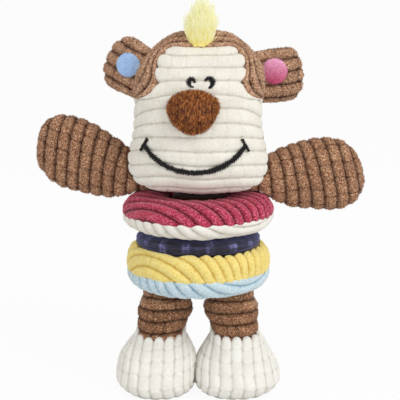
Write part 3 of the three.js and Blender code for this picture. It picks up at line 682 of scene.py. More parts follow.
# Long fur: strands that rise from their roots along the direction that the root gives
def furTree():
    tree, given = newTree("furTuft", ("Density", "Length", "Width"))
    spots = scattered(tree, given, given["Density"])
    bow = {"Resolution": 7, "Start": (0, 0, 0), "Middle": (0, 0, 0.55), "End": (0.42, 0, 0.88)}
    strand = fed(tree, "GeometryNodeCurveQuadraticBezier", bow)
    grow, curl = (named(tree, key, "FLOAT_VECTOR") for key in ("grow", "curl"))
    aim = aligned(tree, "Z", grow, "X", curl)
    facing = unruly(tree, aim, (-0.4, -0.4, -0.9), (0.4, 0.4, 0.9), 5)
    long = times(tree, given["Length"], randomNumber(tree, 0.55, 1.08, 9))
    real = stood(tree, spots["Points"], strand, facing, times(tree, long, named(tree, "tall")))
    along = addNode(tree, "GeometryNodeSplineParameter").outputs["Factor"]
    taper = fed(tree, "ShaderNodeMath", {0: along, 1: -0.85, 2: 1.0}, operation="MULTIPLY_ADD")
    inputs = {"Geometry": real, "Name": "tip", "Value": along}
    marked = fed(tree, "GeometryNodeStoreNamedAttribute", inputs, data_type="FLOAT")
    thinned = fed(tree, "GeometryNodeSetCurveRadius", {"Curve": marked, "Radius": taper})
    circle = fed(tree, "GeometryNodeCurvePrimitiveCircle", {"Resolution": 3, "Radius": given["Width"]})
    inputs = {"Curve": thinned, "Profile Curve": circle, "Fill Caps": True}
    return dyed(tree, given, fed(tree, "GeometryNodeCurveToMesh", inputs))


trees = {"pile": pileTree(), "stitch": stitchTree(), "fur": furTree()}
print("materials and node trees made")


def grown(name, mesh, tree, values):
    host = linked(name + "Host", mesh)
    growth = host.modifiers.new("growth", "NODES")
    growth.node_group = tree
    for item in tree.interface.items_tree:
        if item.item_type == "SOCKET" and item.in_out == "INPUT" and item.name in values:
            growth[item.identifier] = values[item.name]
    ready = host.evaluated_get(bpy.context.evaluated_depsgraph_get())
    left = bpy.data.meshes.new_from_object(ready)
    left.name = name
    bpy.data.objects.remove(host)
    return linked(name, left)


# density is in fibres per square millimetre and lean in radians
def addPile(made, body, slot, material, bend, density, length, seed, width=0.26, lean=0.9):
    pile = grown(made.name + "Pile", made.data.copy(), trees["pile"], {
        "Density": density / mm ** 2, "Length": length * mm, "Width": width * mm, "Lean": lean, "Seed": seed,
        "Material": material})
    sew(pile, body, [], bend)


# Head: its form, which the face, the band over the crown and the back share

head = {
    "height": 101, "width": 88, "front": 38.5, "back": 31, "fullness": 2.5, "lean": 2.8, "leanFrom": 45,
    "leanTo": 102, "faceTop": 93, "cheek": 61.5, "brow": 27.5, "faceEdge": -1, "bandEdge": 14, "bandFoot": 40,
    "clothThickness": 3.0, "fill": 0.85,
}
# shares of the height, half width, front and back
headStations = [
    (0, 0, 0.4, -0.6), (0.008, 0.5, 0.6, -0.32), (0.05, 0.85, 0.8, 0.19), (0.13, 0.985, 0.935, 0.68),
    (0.22, 1, 0.985, 0.87), (0.38, 0.93, 1, 1), (0.54, 0.915, 0.95, 1), (0.65, 0.935, 0.845, 0.95),
    (0.75, 0.9, 0.73, 0.84), (0.86, 0.75, 0.545, 0.66), (0.935, 0.565, 0.35, 0.45),
    (0.985, 0.345, 0.14, 0.225), (1, 0, -0.03, 0.03),
]
headSizes = np.array([head["height"], head["width"] / 2, -head["front"], head["back"]])
headRows = smoothRows(np.array(headStations) * headSizes, np.linspace(0, len(headStations) - 1, 1600))


def headAt(height):
    return [np.interp(height, headRows[:, 0], headRows[:, i]) for i in (1, 2, 3)]


# A point of the head at a turn from the middle of the face and a height above the chin
def headPoint(turn, height):
    half, front, back = headAt(height)
    x = half * rounded(np.sin(turn), head["fullness"])
    y = (front + back) / 2 - (back - front) / 2 * rounded(np.cos(turn), head["fullness"])
    return np.stack([x, y, height + 0 * x], -1) + chin


# The crown leans a little to one side
def leaned(points):
    share = smoothStep(points[..., 2:] - chin[2], head["leanFrom"], head["leanTo"])
    return points + (head["lean"] * share) * np.array([1, 0, 0])


def turnAtDepth(height, y):
    _, front, back = headAt(height)
    share = np.clip(((front + back) / 2 - y) / np.maximum((back - front) / 2, 1e-6), -1, 1)
    return np.arccos(np.sign(share) * np.abs(share) ** (head["fullness"] / 2))


def turnAtWidth(height, x):
    half = np.maximum(headAt(height)[0], 1e-6)
    return np.arcsin(np.clip(x / half, 0, 1) ** (head["fullness"] / 2))


def facePoint(x, height):
    half, front, back = headAt(height)
    share = np.clip(np.abs(x) / half, 0, 1) ** head["fullness"]
    y = (front + back) / 2 - (back - front) / 2 * (1 - share) ** (1 / head["fullness"])
    return np.stack([x + 0 * y, y, height + 0 * y], -1) + chin


def faceNormal(x, height, step=0.5):
    across = facePoint(x + step, height) - facePoint(x - step, height)
    up = facePoint(x, height + step) - facePoint(x, height - step)
    return unit(np.cross(across, up))


def quadratic(a, b, c, count=30):
    t = np.linspace(0, 1, count)[:, None]
    return (1 - t) ** 2 * np.array(a) + 2 * t * (1 - t) * np.array(b) + t * t * np.array(c)


brow, cheek, faceTop = head["brow"], head["cheek"], head["faceTop"]
faceOutline = np.concatenate([
    quadratic((head["width"] / 2, cheek - 3.2), (brow, cheek), (brow, cheek + 10)),
    quadratic((brow, cheek + 10), (brow * 1.18, faceTop - 5), (brow * 0.64, faceTop))[1:],
])


# Below its outline the face reaches back to the side seam
def faceTurn(height):
    side = turnAtDepth(height, head["faceEdge"])
    edge = np.interp(height, faceOutline[:, 1], faceOutline[:, 0], left=1e3)
    return np.minimum(side, np.where(edge > 100, 9, turnAtWidth(height, edge)))


def bandTurn(height):
    share = smoothStep(height, head["bandFoot"], head["bandFoot"] + 14)
    return faceTurn(height) * (1 - share) + turnAtDepth(height, head["bandEdge"]) * share


# How far out a place is: 1 on the head's surface
def headLevel(place):
    half, front, back = headAt(place[..., 2])
    depth = np.maximum((back - front) / 2, 1e-6)
    value = (np.abs(place[..., 0]) / np.maximum(half, 1e-6)) ** head["fullness"]
    return value + (np.abs(place[..., 1] - (front + back) / 2) / depth) ** head["fullness"]


def headNormals(points, step=0.4):
    place = points - chin
    slope = [headLevel(place + side) - headLevel(place - side) for side in np.eye(3) * step]
    return unit(np.stack(slope, -1))


# Points inside the head are carried out to its surface, away from its middle
def onHead(points, middle=(0, -2, 48)):
    start = chin + np.array(middle)
    ray = points - start
    low, high = np.full(points.shape[:-1], 0.05), np.full(points.shape[:-1], 6.0)
    for _ in range(40):
        share = (low + high) / 2
        place = start + ray * share[..., None] - chin
        outside = (headLevel(place) > 1) | (place[..., 2] < 0) | (place[..., 2] > head["height"])
        high = np.where(outside, share, high)
        low = np.where(outside, low, share)
    return start + ray * low[..., None]


def headPanel(name, grid, normals, lift, material, slot, nodes, **values):
    outer, inner = lifted(grid, normals, lift), grid - normals * head["clothThickness"]
    made = panel(name, leaned(outer), leaned(inner), material, **values)
    return sew(made, "head", nodes)


facePanel = {
    "rows": 190, "columns": 161, "overlap": 1.004, "scallop": 0.075, "seam": 1.8, "seamWidth": 1.6,
    "pitch": 8.95, "phase": -4.65, "sharp": 3.0, "sway": 1.7, "ribDepth": 1.4, "level": 0.6,
    "creases": {"pitch": 9.6, "width": 0.7, "drift": 0.35}, "creaseShade": 0.22, "foldDepth": 0.35,
    "noise": ((0.7, 17, 5), (0.12, 2.2, 6)),
    # how far down the ribs droop towards the sides, at heights above the chin
    "droop": ((0, 1), (10, 2), (20, 3), (30, 5), (40, 9.5), (50, 13.5), (58, 12), (66, 4), (75, 0),
              (85, -2), (101, -2)),
}


def makeFace():
    size = facePanel
    spine = np.linspace(0.12, head["faceTop"], 900)
    run = runOf(headPoint(0 * spine, spine))
    wanted = np.linspace(0, run[-1], size["rows"])[:, None]  # rows at even steps of the cloth
    height = np.interp(wanted, run, spine)
    share = np.linspace(-1, 1, size["columns"])[None]
    edgeTurn = faceTurn(height)
    base = headPoint(share * edgeTurn, height)
    droop = np.interp(height, *np.array(size["droop"], float).T) * smoothStep(height, 0, 14)
    place = wanted + droop * share ** 2 + softNoise(base, 24, 3) * size["sway"] + size["phase"]
    rib, number = ribs(place, size["pitch"], size["sharp"])
    scallop = size["scallop"] * (rib - 0.5) * smoothStep(np.abs(share), 0.84, 1)
    grid = headPoint(share * (edgeTurn * size["overlap"] + scallop), height)
    normals = gridNormals(grid, False)
    side = runOf(grid, 1)
    side -= side[:, [size["columns"] // 2]]
    lift, tone = laid(grid, rib, number, side, size)
    edge = np.minimum(edgeDistance(grid, 1), np.linalg.norm(grid - grid[-1:], axis=-1))
    lift = seamed(lift, edge, size)
    headPanel("face", grid, normals, lift, cloth["cream"], "cream_corduroy", ["face_panel"], rib=tone)


bandPanel = {
    "rows": 110, "columns": 280, "innerLap": -0.06, "outerLap": 1.03, "seam": 1.2, "seamWidth": 1.6,
    "sunk": 1.3, "sunkFrom": 10, "sunkTo": 21,
    "ribs": 6, "sharp": 2.2, "sway": (0.8, 18, 4), "ribDepth": 2.4, "level": 0.7,
    "creases": {"pitch": 14}, "creaseShade": 0.4, "foldDepth": 0.3, "noise": ((0.4, 14, 7), (0.2, 1.8, 8)),
    "fibres": {"density": 1.6, "length": 0.8, "seed": 10},
}


def mirrored(left):
    return (left * [-1, 1, 1] + [2 * chin[0], 0, 0])[::-1]


def makeBand():
    size = bandPanel
    side = np.linspace(head["bandFoot"], head["faceTop"] - 0.3, 400)
    left = headPoint(-faceTurn(side), side)
    end = faceTurn(side[-1:])[0]
    over = headPoint(np.linspace(-end, end, 60), np.full(60, side[-1]))
    inner = resampled(np.concatenate([left, over[1:-1], mirrored(left)]), size["columns"])
    peak = headRows[headRows[:, 3] >= head["bandEdge"], 0].max()
    near = peak - 4  # closer steps where the edge turns over the crown
    side = np.concatenate([np.linspace(head["bandFoot"], near, 300), np.linspace(near, peak, 200)[1:]])
    left = headPoint(-bandTurn(side), side)
    outer = resampled(np.concatenate([left, mirrored(left)[1:]]), size["columns"])
    share = np.linspace(size["innerLap"], size["outerLap"], size["rows"])[:, None, None]
    grid = onHead(inner * (1 - share) + outer * share)
    normals = headNormals(grid)
    width = np.linalg.norm(np.diff(grid, axis=0), axis=-1).sum(0)
    wide = np.median(width[size["columns"] // 4: -size["columns"] // 4])
    place = np.linspace(0, 1, size["rows"])[:, None] * wide
    rib, lift, tone = ribbed(grid, place, runOf(grid, 1), size, wide / size["ribs"])
    lift = seamed(lift, edgeDistance(grid, 0), size)
    low = head["bandFoot"] + chin[2]
    high = smoothStep(grid[..., 2] - low, size["sunkFrom"], size["sunkTo"])
    lift = lift * (0.3 + 0.7 * high) - size["sunk"] * (1 - high)  # flush with the cheek below
    return headPanel("crownBand", grid, normals, lift, cloth["tan"], "brown_corduroy", ["head_crown_band"],
                     rib=tone, pile=np.clip((rib - 0.5) * 2, 0, 1) * high)


backPanel = {
    "rows": 170, "columns": 150, "overlap": 0.998, "seam": 2.2, "seamWidth": 3.0,
    "pitch": 8.4, "sharp": 3.2, "sway": (0.8, 20, 9), "ribDepth": 1.5, "level": 0.6,
    "creases": {"pitch": 13}, "creaseShade": 0, "foldDepth": 0.3, "noise": ((0.5, 14, 11), (0.2, 1.8, 12)),
    "fibres": {"density": 1.8, "length": 1.0, "seed": 11},
}


def makeHeadBack():
    size = backPanel
    low = headRows[headRows[:, 3] >= head["faceEdge"], 0].min() + 0.05
    peak = headRows[headRows[:, 3] >= head["bandEdge"], 0].max() - 0.05
    spine = np.linspace(low, peak, 600)
    run = runOf(headPoint(np.full(600, math.pi), spine))
    wanted = np.linspace(0, run[-1], size["rows"])[:, None]
    height = np.interp(wanted, run, spine)
    start = bandTurn(height) * size["overlap"]
    share = np.linspace(0, 1, size["columns"])[None]
    grid = headPoint(start + share * (fullTurn - 2 * start), height)
    normals = gridNormals(grid, False)
    pitch = run[-1] / round(run[-1] / size["pitch"])
    rib, lift, tone = ribbed(grid, wanted, runOf(grid, 1), size, pitch)
    lift = seamed(lift, edgeDistance(grid, 1), size)
    return headPanel("headBack", grid, normals, lift, cloth["brown"], "brown_corduroy",
                     ["head_back_panel", "head_stuffing"], rib=tone, pile=np.clip(0.25 + rib, 0, 1))


makeFace()
band = makeBand()
headBack = makeHeadBack()
print("head sewn")

# Nose, eyes and smile

nose = {
    "width": 28.6, "height": 25, "depth": 14, "taper": 0.3, "x": -3, "drop": 48.2, "rows": 64, "columns": 96,
    "creaseAt": 2.5, "creaseWidth": 1.6, "creaseDepth": 0.9, "noise": ((0.5, 6, 21), (0.25, 2.2, 22)),
    "bareFrom": 3, "fill": 0.9,
    "fibres": {"density": 5, "length": 2.3, "width": 0.3, "lean": 1.0, "seed": 4},
}


def makeNose():
    up = np.linspace(-math.pi / 2 + 0.02, math.pi / 2 - 0.02, nose["rows"])[:, None]
    turn = roundTurn(nose["columns"])
    z = np.sin(up) + 0 * turn
    x = np.cos(up) * np.cos(turn) * (1 + nose["taper"] * z) * nose["width"] / 2
    y = np.cos(up) * np.sin(turn) * nose["depth"]
    seat = facePoint(np.array(nose["x"]), np.array(head["height"] - nose["drop"]))
    grid = np.stack([x, y, z * nose["height"] / 2], -1)
    crease = bell(x - nose["creaseAt"], nose["creaseWidth"]) * smoothStep(-z, -0.1, 0.5)
    lift = uneven(grid, nose["noise"]) - nose["creaseDepth"] * crease
    grid = lifted(grid, gridNormals(grid), lift) + seat
    pile = np.where(grid[..., 1] < seat[1] + nose["bareFrom"], 1.0, 0.0)
    made = closedForm("nose", grid, cloth["nose"], pile=pile)
    sew(made, "head", ["nose_cover", "nose_stuffing"])
    addPile(made, "head", "nose_plush", cloth["nose"], None, **nose["fibres"])


makeNose()

thread = {"rise": 0.9, "smile": {"spacing": 1.6, "thick": 0.84, "slant": 0.6, "uneven": 0.4},
          "eye": {"spacing": 0.75, "thick": 0.46, "slant": 0.15, "uneven": 0.2}}


# Satin stitches along places on the face: x from the middle, height above the chin, and breadth
def satin(name, places, spacing, thick, slant, uneven):
    count = 160
    x, height, broad = smoothRows(places, np.linspace(0, len(places) - 1, count)).T
    broad = broad * (1 + uneven * (hashed(np.arange(count) // 3, 2) - 0.6))
    normal = faceNormal(x, height)
    points = facePoint(x, height) + normal * thread["rise"]
    along = unit(np.gradient(points, axis=0))
    across = np.cross(normal, along) * math.cos(slant) + along * math.sin(slant)
    mesh = bpy.data.meshes.new(name + "Path")
    mesh.from_pydata((points * mm).tolist(), [(i, i + 1) for i in range(count - 1)], [])
    storeVectors(mesh, across=across, up=normal)
    storeNumbers(mesh, broad=broad * mm)
    values = {"Spacing": spacing * mm, "Thread": thick * mm, "Material": cloth["thread"]}
    return grown(name, mesh, trees["stitch"], values)


def joined(name, parts):
    built = bmesh.new()
    for part in parts:
        built.from_mesh(part.data)
        bpy.data.objects.remove(part)
    mesh = bpy.data.meshes.new(name)
    built.to_mesh(mesh)
    built.free()
    mesh.materials.append(cloth["thread"])
    return linked(name, mesh)


smile = {"width": 62, "sag": 16, "x": -2, "height": 16, "tick": 7.5, "broad": 5.6}


def makeSmile():
    share = np.linspace(-1, 1, 15)
    x = smile["x"] + smile["width"] / 2 * share
    height = smile["height"] + smile["sag"] * (1 - np.sqrt(1 - 0.75 * share ** 2)) * 2
    arc = np.stack([x, height, smile["broad"] * (1 - 0.25 * share ** 4)], 1)
    parts = [satin("smileArc", arc, **thread["smile"])]
    for side, k in ((-1, 0), (1, -1)):
        lean, tall = side * smile["tick"] / 4, smile["tick"]
        tick = [(x[k] - lean, height[k] + tall / 2, 2.6), (x[k], height[k], 2.8),
                (x[k] + lean, height[k] - tall / 2.4, 2.8)]
        parts.append(satin("smileTick%d" % k, tick, **thread["smile"]))
    sew(joined("smile", parts), "head", ["smile_stitching"])


makeSmile()

# each place of an eye is across, up and the breadth of the stitches there
eyes = {
    "drop": 30, "spacing": 11.6, "shift": 1.3, "size": 0.93,
    "right": [(2.7, -0.2, 2.0), (2.0, 1.6, 3.0), (0.3, 2.0, 3.8), (-1.2, 0.6, 4.4), (-1.2, -1.4, 4.0),
              (-0.1, -3.0, 2.6), (1.9, -3.3, 1.5)],
    "left": [(-2.8, 0.9, 1.8), (-0.8, 2.6, 3.2), (1.4, 2.0, 4.2), (2.2, 0.0, 4.6), (1.5, -2.3, 3.8),
             (-0.4, -4.0, 2.0)],
}


def makeEye(name, side):
    middle = np.array([eyes["shift"] + side * eyes["spacing"] / 2, head["height"] - eyes["drop"], 0])
    made = satin(name + "Eye", middle + np.array(eyes[name]) * eyes["size"], **thread["eye"])
    sew(made, "head", [name + "_eye"])


makeEye("left", 1)
makeEye("right", -1)
print("nose, eyes and smile sewn")

# Tuft of long pile on the crown, with rows of height, half width and half depth

tuft = {
    "x": 1.5, "base": 92, "back": 2.2, "lean": 1.8, "spacing": 0.6, "flare": 0.55, "curl": 0.4,
    "strand": 0.15,
    "tuft": {"density": 4.8, "length": 13, "seed": 2}, "tuftWisps": {"density": 0.8, "length": 18, "seed": 3},
    "rows": [(0, 4.8, 2.2), (3, 6.0, 3.2), (7.5, 6.8, 4.0), (11, 5.7, 3.6), (14, 3.8, 2.6), (16, 2.0, 1.5),
             (17, 0.4, 0.3)],
}


# Under-wool in the shape of a flame, with strands that rise from all over it
def makeTuft():
    root = facePoint(np.array(tuft["x"]), np.array(tuft["base"])) + [0, tuft["back"], 0]
    rows = evenRows(tuft["rows"], tuft["spacing"])
    grid = spunGrid(rows[:, 1:2], rows[:, 2:3], rows[:, :1], 100) + root
    share = rows[:, :1] / rows[-1, 0]
    grid[..., 0] += tuft["lean"] * share ** 2
    normals = gridNormals(grid)
    locks = 1.0 * softNoise(grid * [1, 1, 0.22], 1.7, 15) + 0.9 * softNoise(grid * [1, 1, 0.3], 4.5, 16)
    wool = closedForm("tuftWool", lifted(grid, normals, locks), cloth["wool"])
    sew(wool, "head", [])
    mesh = bpy.data.meshes.new("tuftRoots")
    mesh.from_pydata((grid.reshape(-1, 3) * mm).tolist(), [], quadsOf(*grid.shape[:2]))
    up = np.array([0, 0, 1.0])
    storeVectors(mesh, grow=unit(normals * tuft["flare"] + up), curl=up - normals * tuft["curl"])
    storeNumbers(mesh, tall=0.5 + 0.5 * share + 0 * grid[..., 0])
    for name, nodes in (("tuft", ["hair_tuft"]), ("tuftWisps", [])):
        strands = tuft[name]
        made = grown(name, mesh.copy(), trees["fur"], {
            "Density": strands["density"] / mm ** 2, "Length": strands["length"] * mm,
            "Width": tuft["strand"] * mm, "Seed": strands["seed"], "Material": cloth["fur"]})
        sew(made, "head", nodes)


makeTuft()
print("tuft set")


# Limbs and ears run along one direction with their width along another

def limbAxes(side, tilt, sweep):
    tilt, sweep = math.radians(tilt), math.radians(sweep)
    flat, rise = math.cos(tilt), math.sin(tilt)
    along = np.array([side * flat * math.cos(sweep), flat * math.sin(sweep), rise])
    up = np.array([-side * rise * math.cos(sweep), -rise * math.sin(sweep), flat])
    return np.array([along, up, np.cross(along, up)])


# Rows hold the place along, half width, half thickness and shift of the width
def limbGrid(rows, columns, fullness, place, axes):
    turn = roundTurn(columns)
    along, half, depth, shift = (rows[:, i, None] for i in range(4))
    width = shift + half * rounded(np.cos(turn), fullness)
    thick = depth * rounded(np.sin(turn), fullness)
    local = np.stack([along + 0 * turn, width, thick], -1)
    return place + local @ axes, np.moveaxis(local, -1, 0)


# Where a limb starts to bend away from the body it is sewn to, and where it has left it
def bendOf(piece, fixed, body, place, axes):
    return (fixed, body, *[(place + axes[0] * piece[key]) * mm for key in ("bendFrom", "bendTo")])


ear = {
    "width": 36.5, "thickness": 10.4, "root": 4, "tuck": 9, "fullness": 2.2, "bendFrom": 0, "bendTo": 10,
    "seam": 0.7, "seamWidth": 1.1, "fill": 0.6, "patchFill": 0.5,
    "pitch": 8.1, "sharp": 3.0, "sway": (0.8, 14, 31), "ribDepth": 1.5, "level": 0.5,
    "creases": {"pitch": 12}, "creaseShade": 0.4, "foldDepth": 0.25, "noise": ((0.25, 9, 32), (0.2, 1.8, 33)),
    "fibres": {"density": 2.2, "length": 1.1, "seed": 6},
    "patchFibres": {"density": 8, "length": 0.9, "width": 0.16, "lean": 0.7, "seed": 7},
    "left": {"side": 1, "tilt": 7.5, "sweep": 0, "length": 27.9, "broad": 0.96, "tip": 1.07, "ribsAt": 2.4,
             "cloth": "pinkPatch", "slot": "pink_felt", "patch": 15.8, "patchAt": (9.4, 2.8), "pileFrom": 3},
    "right": {"side": -1, "tilt": 26, "sweep": 18, "length": 23, "broad": 0.98, "tip": 0.98, "ribsAt": 0,
              "cloth": "bluePatch", "slot": "blue_felt", "patch": 15, "patchAt": (6.2, 1.8), "pileFrom": 0},
}


def makeEar(name):
    size = ear[name]
    body = name + "_ear"
    half, thick, long = ear["width"] / 2 * size["broad"], ear["thickness"] / 2, size["length"]
    stations = [
        (-ear["tuck"], half * 0.88, 0.3, 0), (-ear["tuck"] * 0.6, half * 0.95, ear["root"] * 0.5, 0),
        (0, half * 0.98, ear["root"], 0), (long * 0.24, half * 0.98, thick * 0.96, 0),
        (long * 0.5, half, thick, 0), (long * 0.76, half * 0.88 * size["tip"], thick * 0.84, 0),
        (long * 0.93, half * 0.56 * size["tip"], thick * 0.52, 0), (long, 0.2, 0.1, 0),
    ]
    axes = limbAxes(size["side"], size["tilt"], size["sweep"])
    place = jointPlace(body + "_fold")
    rows = evenRows(stations, 0.6)
    grid, (along, across, deep) = limbGrid(rows, 150, ear["fullness"], place, axes)
    rib, lift, tone = ribbed(grid, across + 0.5 * ear["pitch"] + size["ribsAt"], along, ear)
    grid = lifted(grid, gridNormals(grid), seamed(lift, deep, ear))
    pile = np.clip(0.3 + rib, 0, 1) * smoothStep(along, 3, 8)
    made = closedForm(name + "Ear", grid, cloth["tan"], rib=tone, pile=pile)
    bend = bendOf(ear, "head", body, place, axes)
    nodes = [body + "_front", body + "_back", body + "_batting"]
    sew(made, body, nodes, bend)
    addPile(made, body, "brown_corduroy", cloth["tan"], bend, **ear["fibres"])
    makePatch(name, rows, place, axes, bend)


# A shallow dome on the front of an ear
def makePatch(name, rows, place, axes, bend):
    size = ear[name]
    turn = roundTurn(64)
    reach = np.linspace(0.02, 1.0, 22)[:, None]
    u = size["patchAt"][0] + size["patch"] / 2 * reach * np.cos(turn)
    w = size["patchAt"][1] + size["patch"] / 2 * reach * np.sin(turn)
    halfAt, depthAt = (np.interp(u, rows[:, 0], rows[:, i]) for i in (1, 2))
    deep = depthAt * np.clip(1 - (np.abs(w) / halfAt) ** ear["fullness"], 0, 1) ** (1 / ear["fullness"])
    forward = -1 if axes[2][1] > 0 else 1
    outer = smoothStep(u, -3, 7)  # lies low beside the head, over the ribs farther out
    dome = 0.3 + outer + 1.2 * np.sqrt(np.clip(1 - reach ** 2, 0, 1)) * (0.3 + 0.7 * outer)
    front = np.stack([u, w, forward * (deep + dome)], -1)
    rear = np.stack([u, w, forward * (deep - 1.2)], -1)[::-6]
    pile = np.concatenate([smoothStep(u - size["pileFrom"], 0, 1.5), np.zeros(rear.shape[:2])])
    grid = place + np.concatenate([front, rear]) @ axes
    patch = closedForm(name + "EarPatch", grid, cloth[size["cloth"]], pile=pile)
    sew(patch, name + "_ear", [name + "_ear_patch"], bend)
    addPile(patch, name + "_ear", size["slot"], cloth[size["cloth"]], bend, **ear["patchFibres"])


for name in ("left", "right"):
    makeEar(name)
print("ears sewn")

# Rings: two halves sewn round the rim and the bore, each with its cloth

ring = {
    "bore": 18, "boreFlare": 1.6, "fullness": 2.3, "pressGap": 0.6, "columns": 440, "innerCut": 12,
    "heading": 45, "low": 0.2, "seam": 0.8, "seamWidth": 1.5, "scallop": 1.1, "fill": 0.75,
    "pitch": 8.4, "sharp": 2.2, "sway": (1.2, 20, 43), "ribDepth": 2.2, "level": 0.85,
    "creases": {"pitch": 15, "width": 0.9}, "creaseShade": 0.25, "foldDepth": 0.3,
    "noise": ((0.5, 18, 44), (0.12, 2, 45)),
    "upper": {"radius": 49.5, "up": 12.5, "down": 11, "rise": 0, "full": (2.3, 1.95), "inner": 4.5,
              "rows": 84, "top": ("pink", "pink_corduroy"), "bottom": ("white", "white_corduroy")},
    "middle": {"radius": 41, "up": 6.1, "down": 5.5, "rise": 0.9, "full": (2.3, 2.3), "inner": 2.3,
               "rows": 44, "top": ("navy", "navy_check"), "bottom": ("navy", "navy_check")},
    "lower": {"radius": 47, "up": 17, "down": 12.5, "rise": 0, "full": (3.4, 2.3), "inner": 3.4,
              "rows": 84, "top": ("yellow", "yellow_corduroy"), "bottom": ("blue", "blue_corduroy")},
}


def ringSpan(size):
    return (size["radius"] - ring["bore"]) / 2, (size["radius"] + ring["bore"]) / 2


def ringSection(name, side):
    size = ring[name]
    half, middle = ringSpan(size)
    turn = np.linspace(math.pi, 0, 700)
    tall, full = (size["up"], size["full"][0]) if side > 0 else (size["down"], size["full"][1])
    full = np.where((np.cos(turn) < 0) & (side > 0), size["inner"], full)
    out, up = middle + half * rounded(np.cos(turn), full), tall * rounded(np.sin(turn), full)
    if name == "upper" and side > 0:
        out = np.maximum(out, ring["bore"] + ring["boreFlare"] * up / tall)
    if name == "lower" and side > 0:  # it is pressed down where the middle ring lies on it
        near = ring["middle"]
        width = ringSpan(near)[0]
        share = np.clip(np.abs(out - ring["bore"] - width) / width, 0, 1)
        under = near["rise"] - near["down"] * (1 - share ** ring["fullness"]) ** (1 / ring["fullness"])
        gap = jointPlace("middle_ring_spin")[2] - jointPlace("lower_ring_spin")[2]
        up = np.where(out < near["radius"], np.minimum(up, gap + under - ring["pressGap"]), up)
    return resampled(np.stack([out, up], 1), size["rows"])


# The check's own coordinates: once round holds whole checks, so none is torn where the turn starts again
def weaveOn(mesh, centre, radius):
    spots = pointsOf(mesh) - centre
    corners = np.empty(len(mesh.loops), np.int32)
    mesh.loops.foreach_get("vertex_index", corners)
    u = np.arctan2(spots[:, 1], spots[:, 0])[corners]
    starts, totals = np.array([(face.loop_start, face.loop_total) for face in mesh.polygons]).T
    u = u + fullTurn * np.round((np.repeat(u[starts], totals) - u) / fullTurn)
    checks = round(fullTurn * radius / checkPitch)
    v = spots[corners, 2] + np.hypot(spots[corners, 0], spots[corners, 1]) * -0.6
    uv = np.stack([u / fullTurn * checks * checkPitch, v], 1).astype(np.float32)
    mesh.uv_layers.new(name="weave").data.foreach_set("uv", uv.ravel())


def makeRingHalf(name, side, word):
    size = ring[name]
    plain = name == "middle"
    section = ringSection(name, side)
    length = runOf(section)
    rows, columns = len(section), ring["columns"]
    centre = jointPlace(name + "_ring_spin") + [0, 0, size["rise"]]
    grid = spunGrid(section[:, :1], section[:, :1], side * section[:, 1:], columns) + centre
    rim = (length[-1] - length)[:, None]
    edge = np.minimum(length[:, None], rim)
    if plain:
        tone = np.ones(grid.shape[:2])
        lift = 0.6 * softNoise(grid * [1, 1, 0.4], 11, 41) + 0.2 * softNoise(grid, 4, 42) - 0.6
    else:
        turn = roundTurn(columns) - math.radians(ring["heading"] if side > 0 else -ring["heading"])
        flat = ring["innerCut"] + length[:, None]
        rib, lift, tone = ribbed(grid, flat * np.cos(turn), flat * np.sin(turn), ring)
        lift = lift - ring["low"]
    outer = lifted(grid, gridNormals(grid), seamed(lift * smoothStep(edge, 0, 3.0), edge, ring))
    if not plain:  # the cut edge follows the ribs, so the seam round the rim is scalloped
        outer[..., 2] -= side * ring["scallop"] * (rib - 0.45) * bell(rim, 2.0)
    faces = quadsOf(rows, columns)
    for j in range(columns):
        k = (j + 1) % columns
        faces.append([j, k, (rows - 1) * columns + k, (rows - 1) * columns + j])
    material, slot = size[word]
    made = makeObject(name + word.capitalize(), outer.reshape(-1, 3), faces, cloth[material], rib=tone)
    if plain:
        weaveOn(made.data, centre, size["radius"])
    nodes = ["%s_ring_%s" % (name, word)] + (["%s_ring_stuffing" % name] if word == "top" else [])
    sew(made, name + "_ring", nodes)


for name in ("upper", "middle", "lower"):
    makeRingHalf(name, 1, "top")
    makeRingHalf(name, -1, "bottom")
print("rings sewn")

# Torso and neck: the core that the rings are threaded on

torso = {
    "radius": 17.5, "dome": 4.2, "lowered": 3, "pitch": 8.0, "fill": 0.8, "neckRadius": 10.8, "neckPitch": 7,
    "noise": ((0.15, 2, 52),),
}


def lathe(name, profile, centre, material, ribDepth=1.0, pitch=8.0):
    section = resampled(np.array(profile, float), 90)
    grid = spunGrid(section[:, :1], section[:, :1], section[:, 1:], 90) + centre
    rib, _ = ribs(runOf(section)[:, None] + softNoise(grid, 15, 51) * 0.6, pitch)
    lift = ribDepth * (rib - 1.0) + uneven(grid, torso["noise"])
    return closedForm(name, lifted(grid, gridNormals(grid), lift), material, rib=rib)


def makeTorso():
    bottom, top = (corner.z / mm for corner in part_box("torso_sleeve"))
    under, over = (corner.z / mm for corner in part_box("torso_base_panel"))
    radius, dome = torso["radius"], torso["dome"]
    axis = np.array([*toyAxis, 0])
    shoulder = top - dome - torso["lowered"]
    arc = np.linspace(0.1, 1.2, 10)
    crown = [(radius * math.cos(a), shoulder + (dome + 2) * math.sin(a)) for a in arc]
    profile = [(0.4, bottom), (radius, bottom), (radius, shoulder), *crown, (0.4, top - 1.2)]
    # the sleeve is sewn in the brown darkened with painted shadow
    made = lathe("torsoSleeve", profile, axis, cloth["shadowBrown"], pitch=torso["pitch"])
    sew(made, "torso", ["torso_sleeve", "torso_stuffing"])
    middle = (under + over) / 2
    profile = [(0.3, under + 0.2), (radius - 1, under), (radius, middle), (radius - 1, over), (0.3, over)]
    made = lathe("torsoBase", profile, axis, cloth["brown"], ribDepth=0.3)
    sew(made, "torso", ["torso_base_panel"])
    pivot = jointPlace("neck_turn")
    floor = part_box("neck_cover")[0].z / mm - pivot[2]
    radius = torso["neckRadius"]
    arc = np.linspace(-0.45, math.pi / 2 - 0.05, 30)
    profile = [(0.3, floor)] + [(radius * math.cos(a), max(radius * math.sin(a), floor)) for a in arc]
    # the neck too is in the brown darkened with painted shadow
    made = lathe("neck", profile, pivot, cloth["shadowBrown"], ribDepth=0.8, pitch=torso["neckPitch"])
    sew(made, "neck", ["neck_cover", "neck_stuffing"])


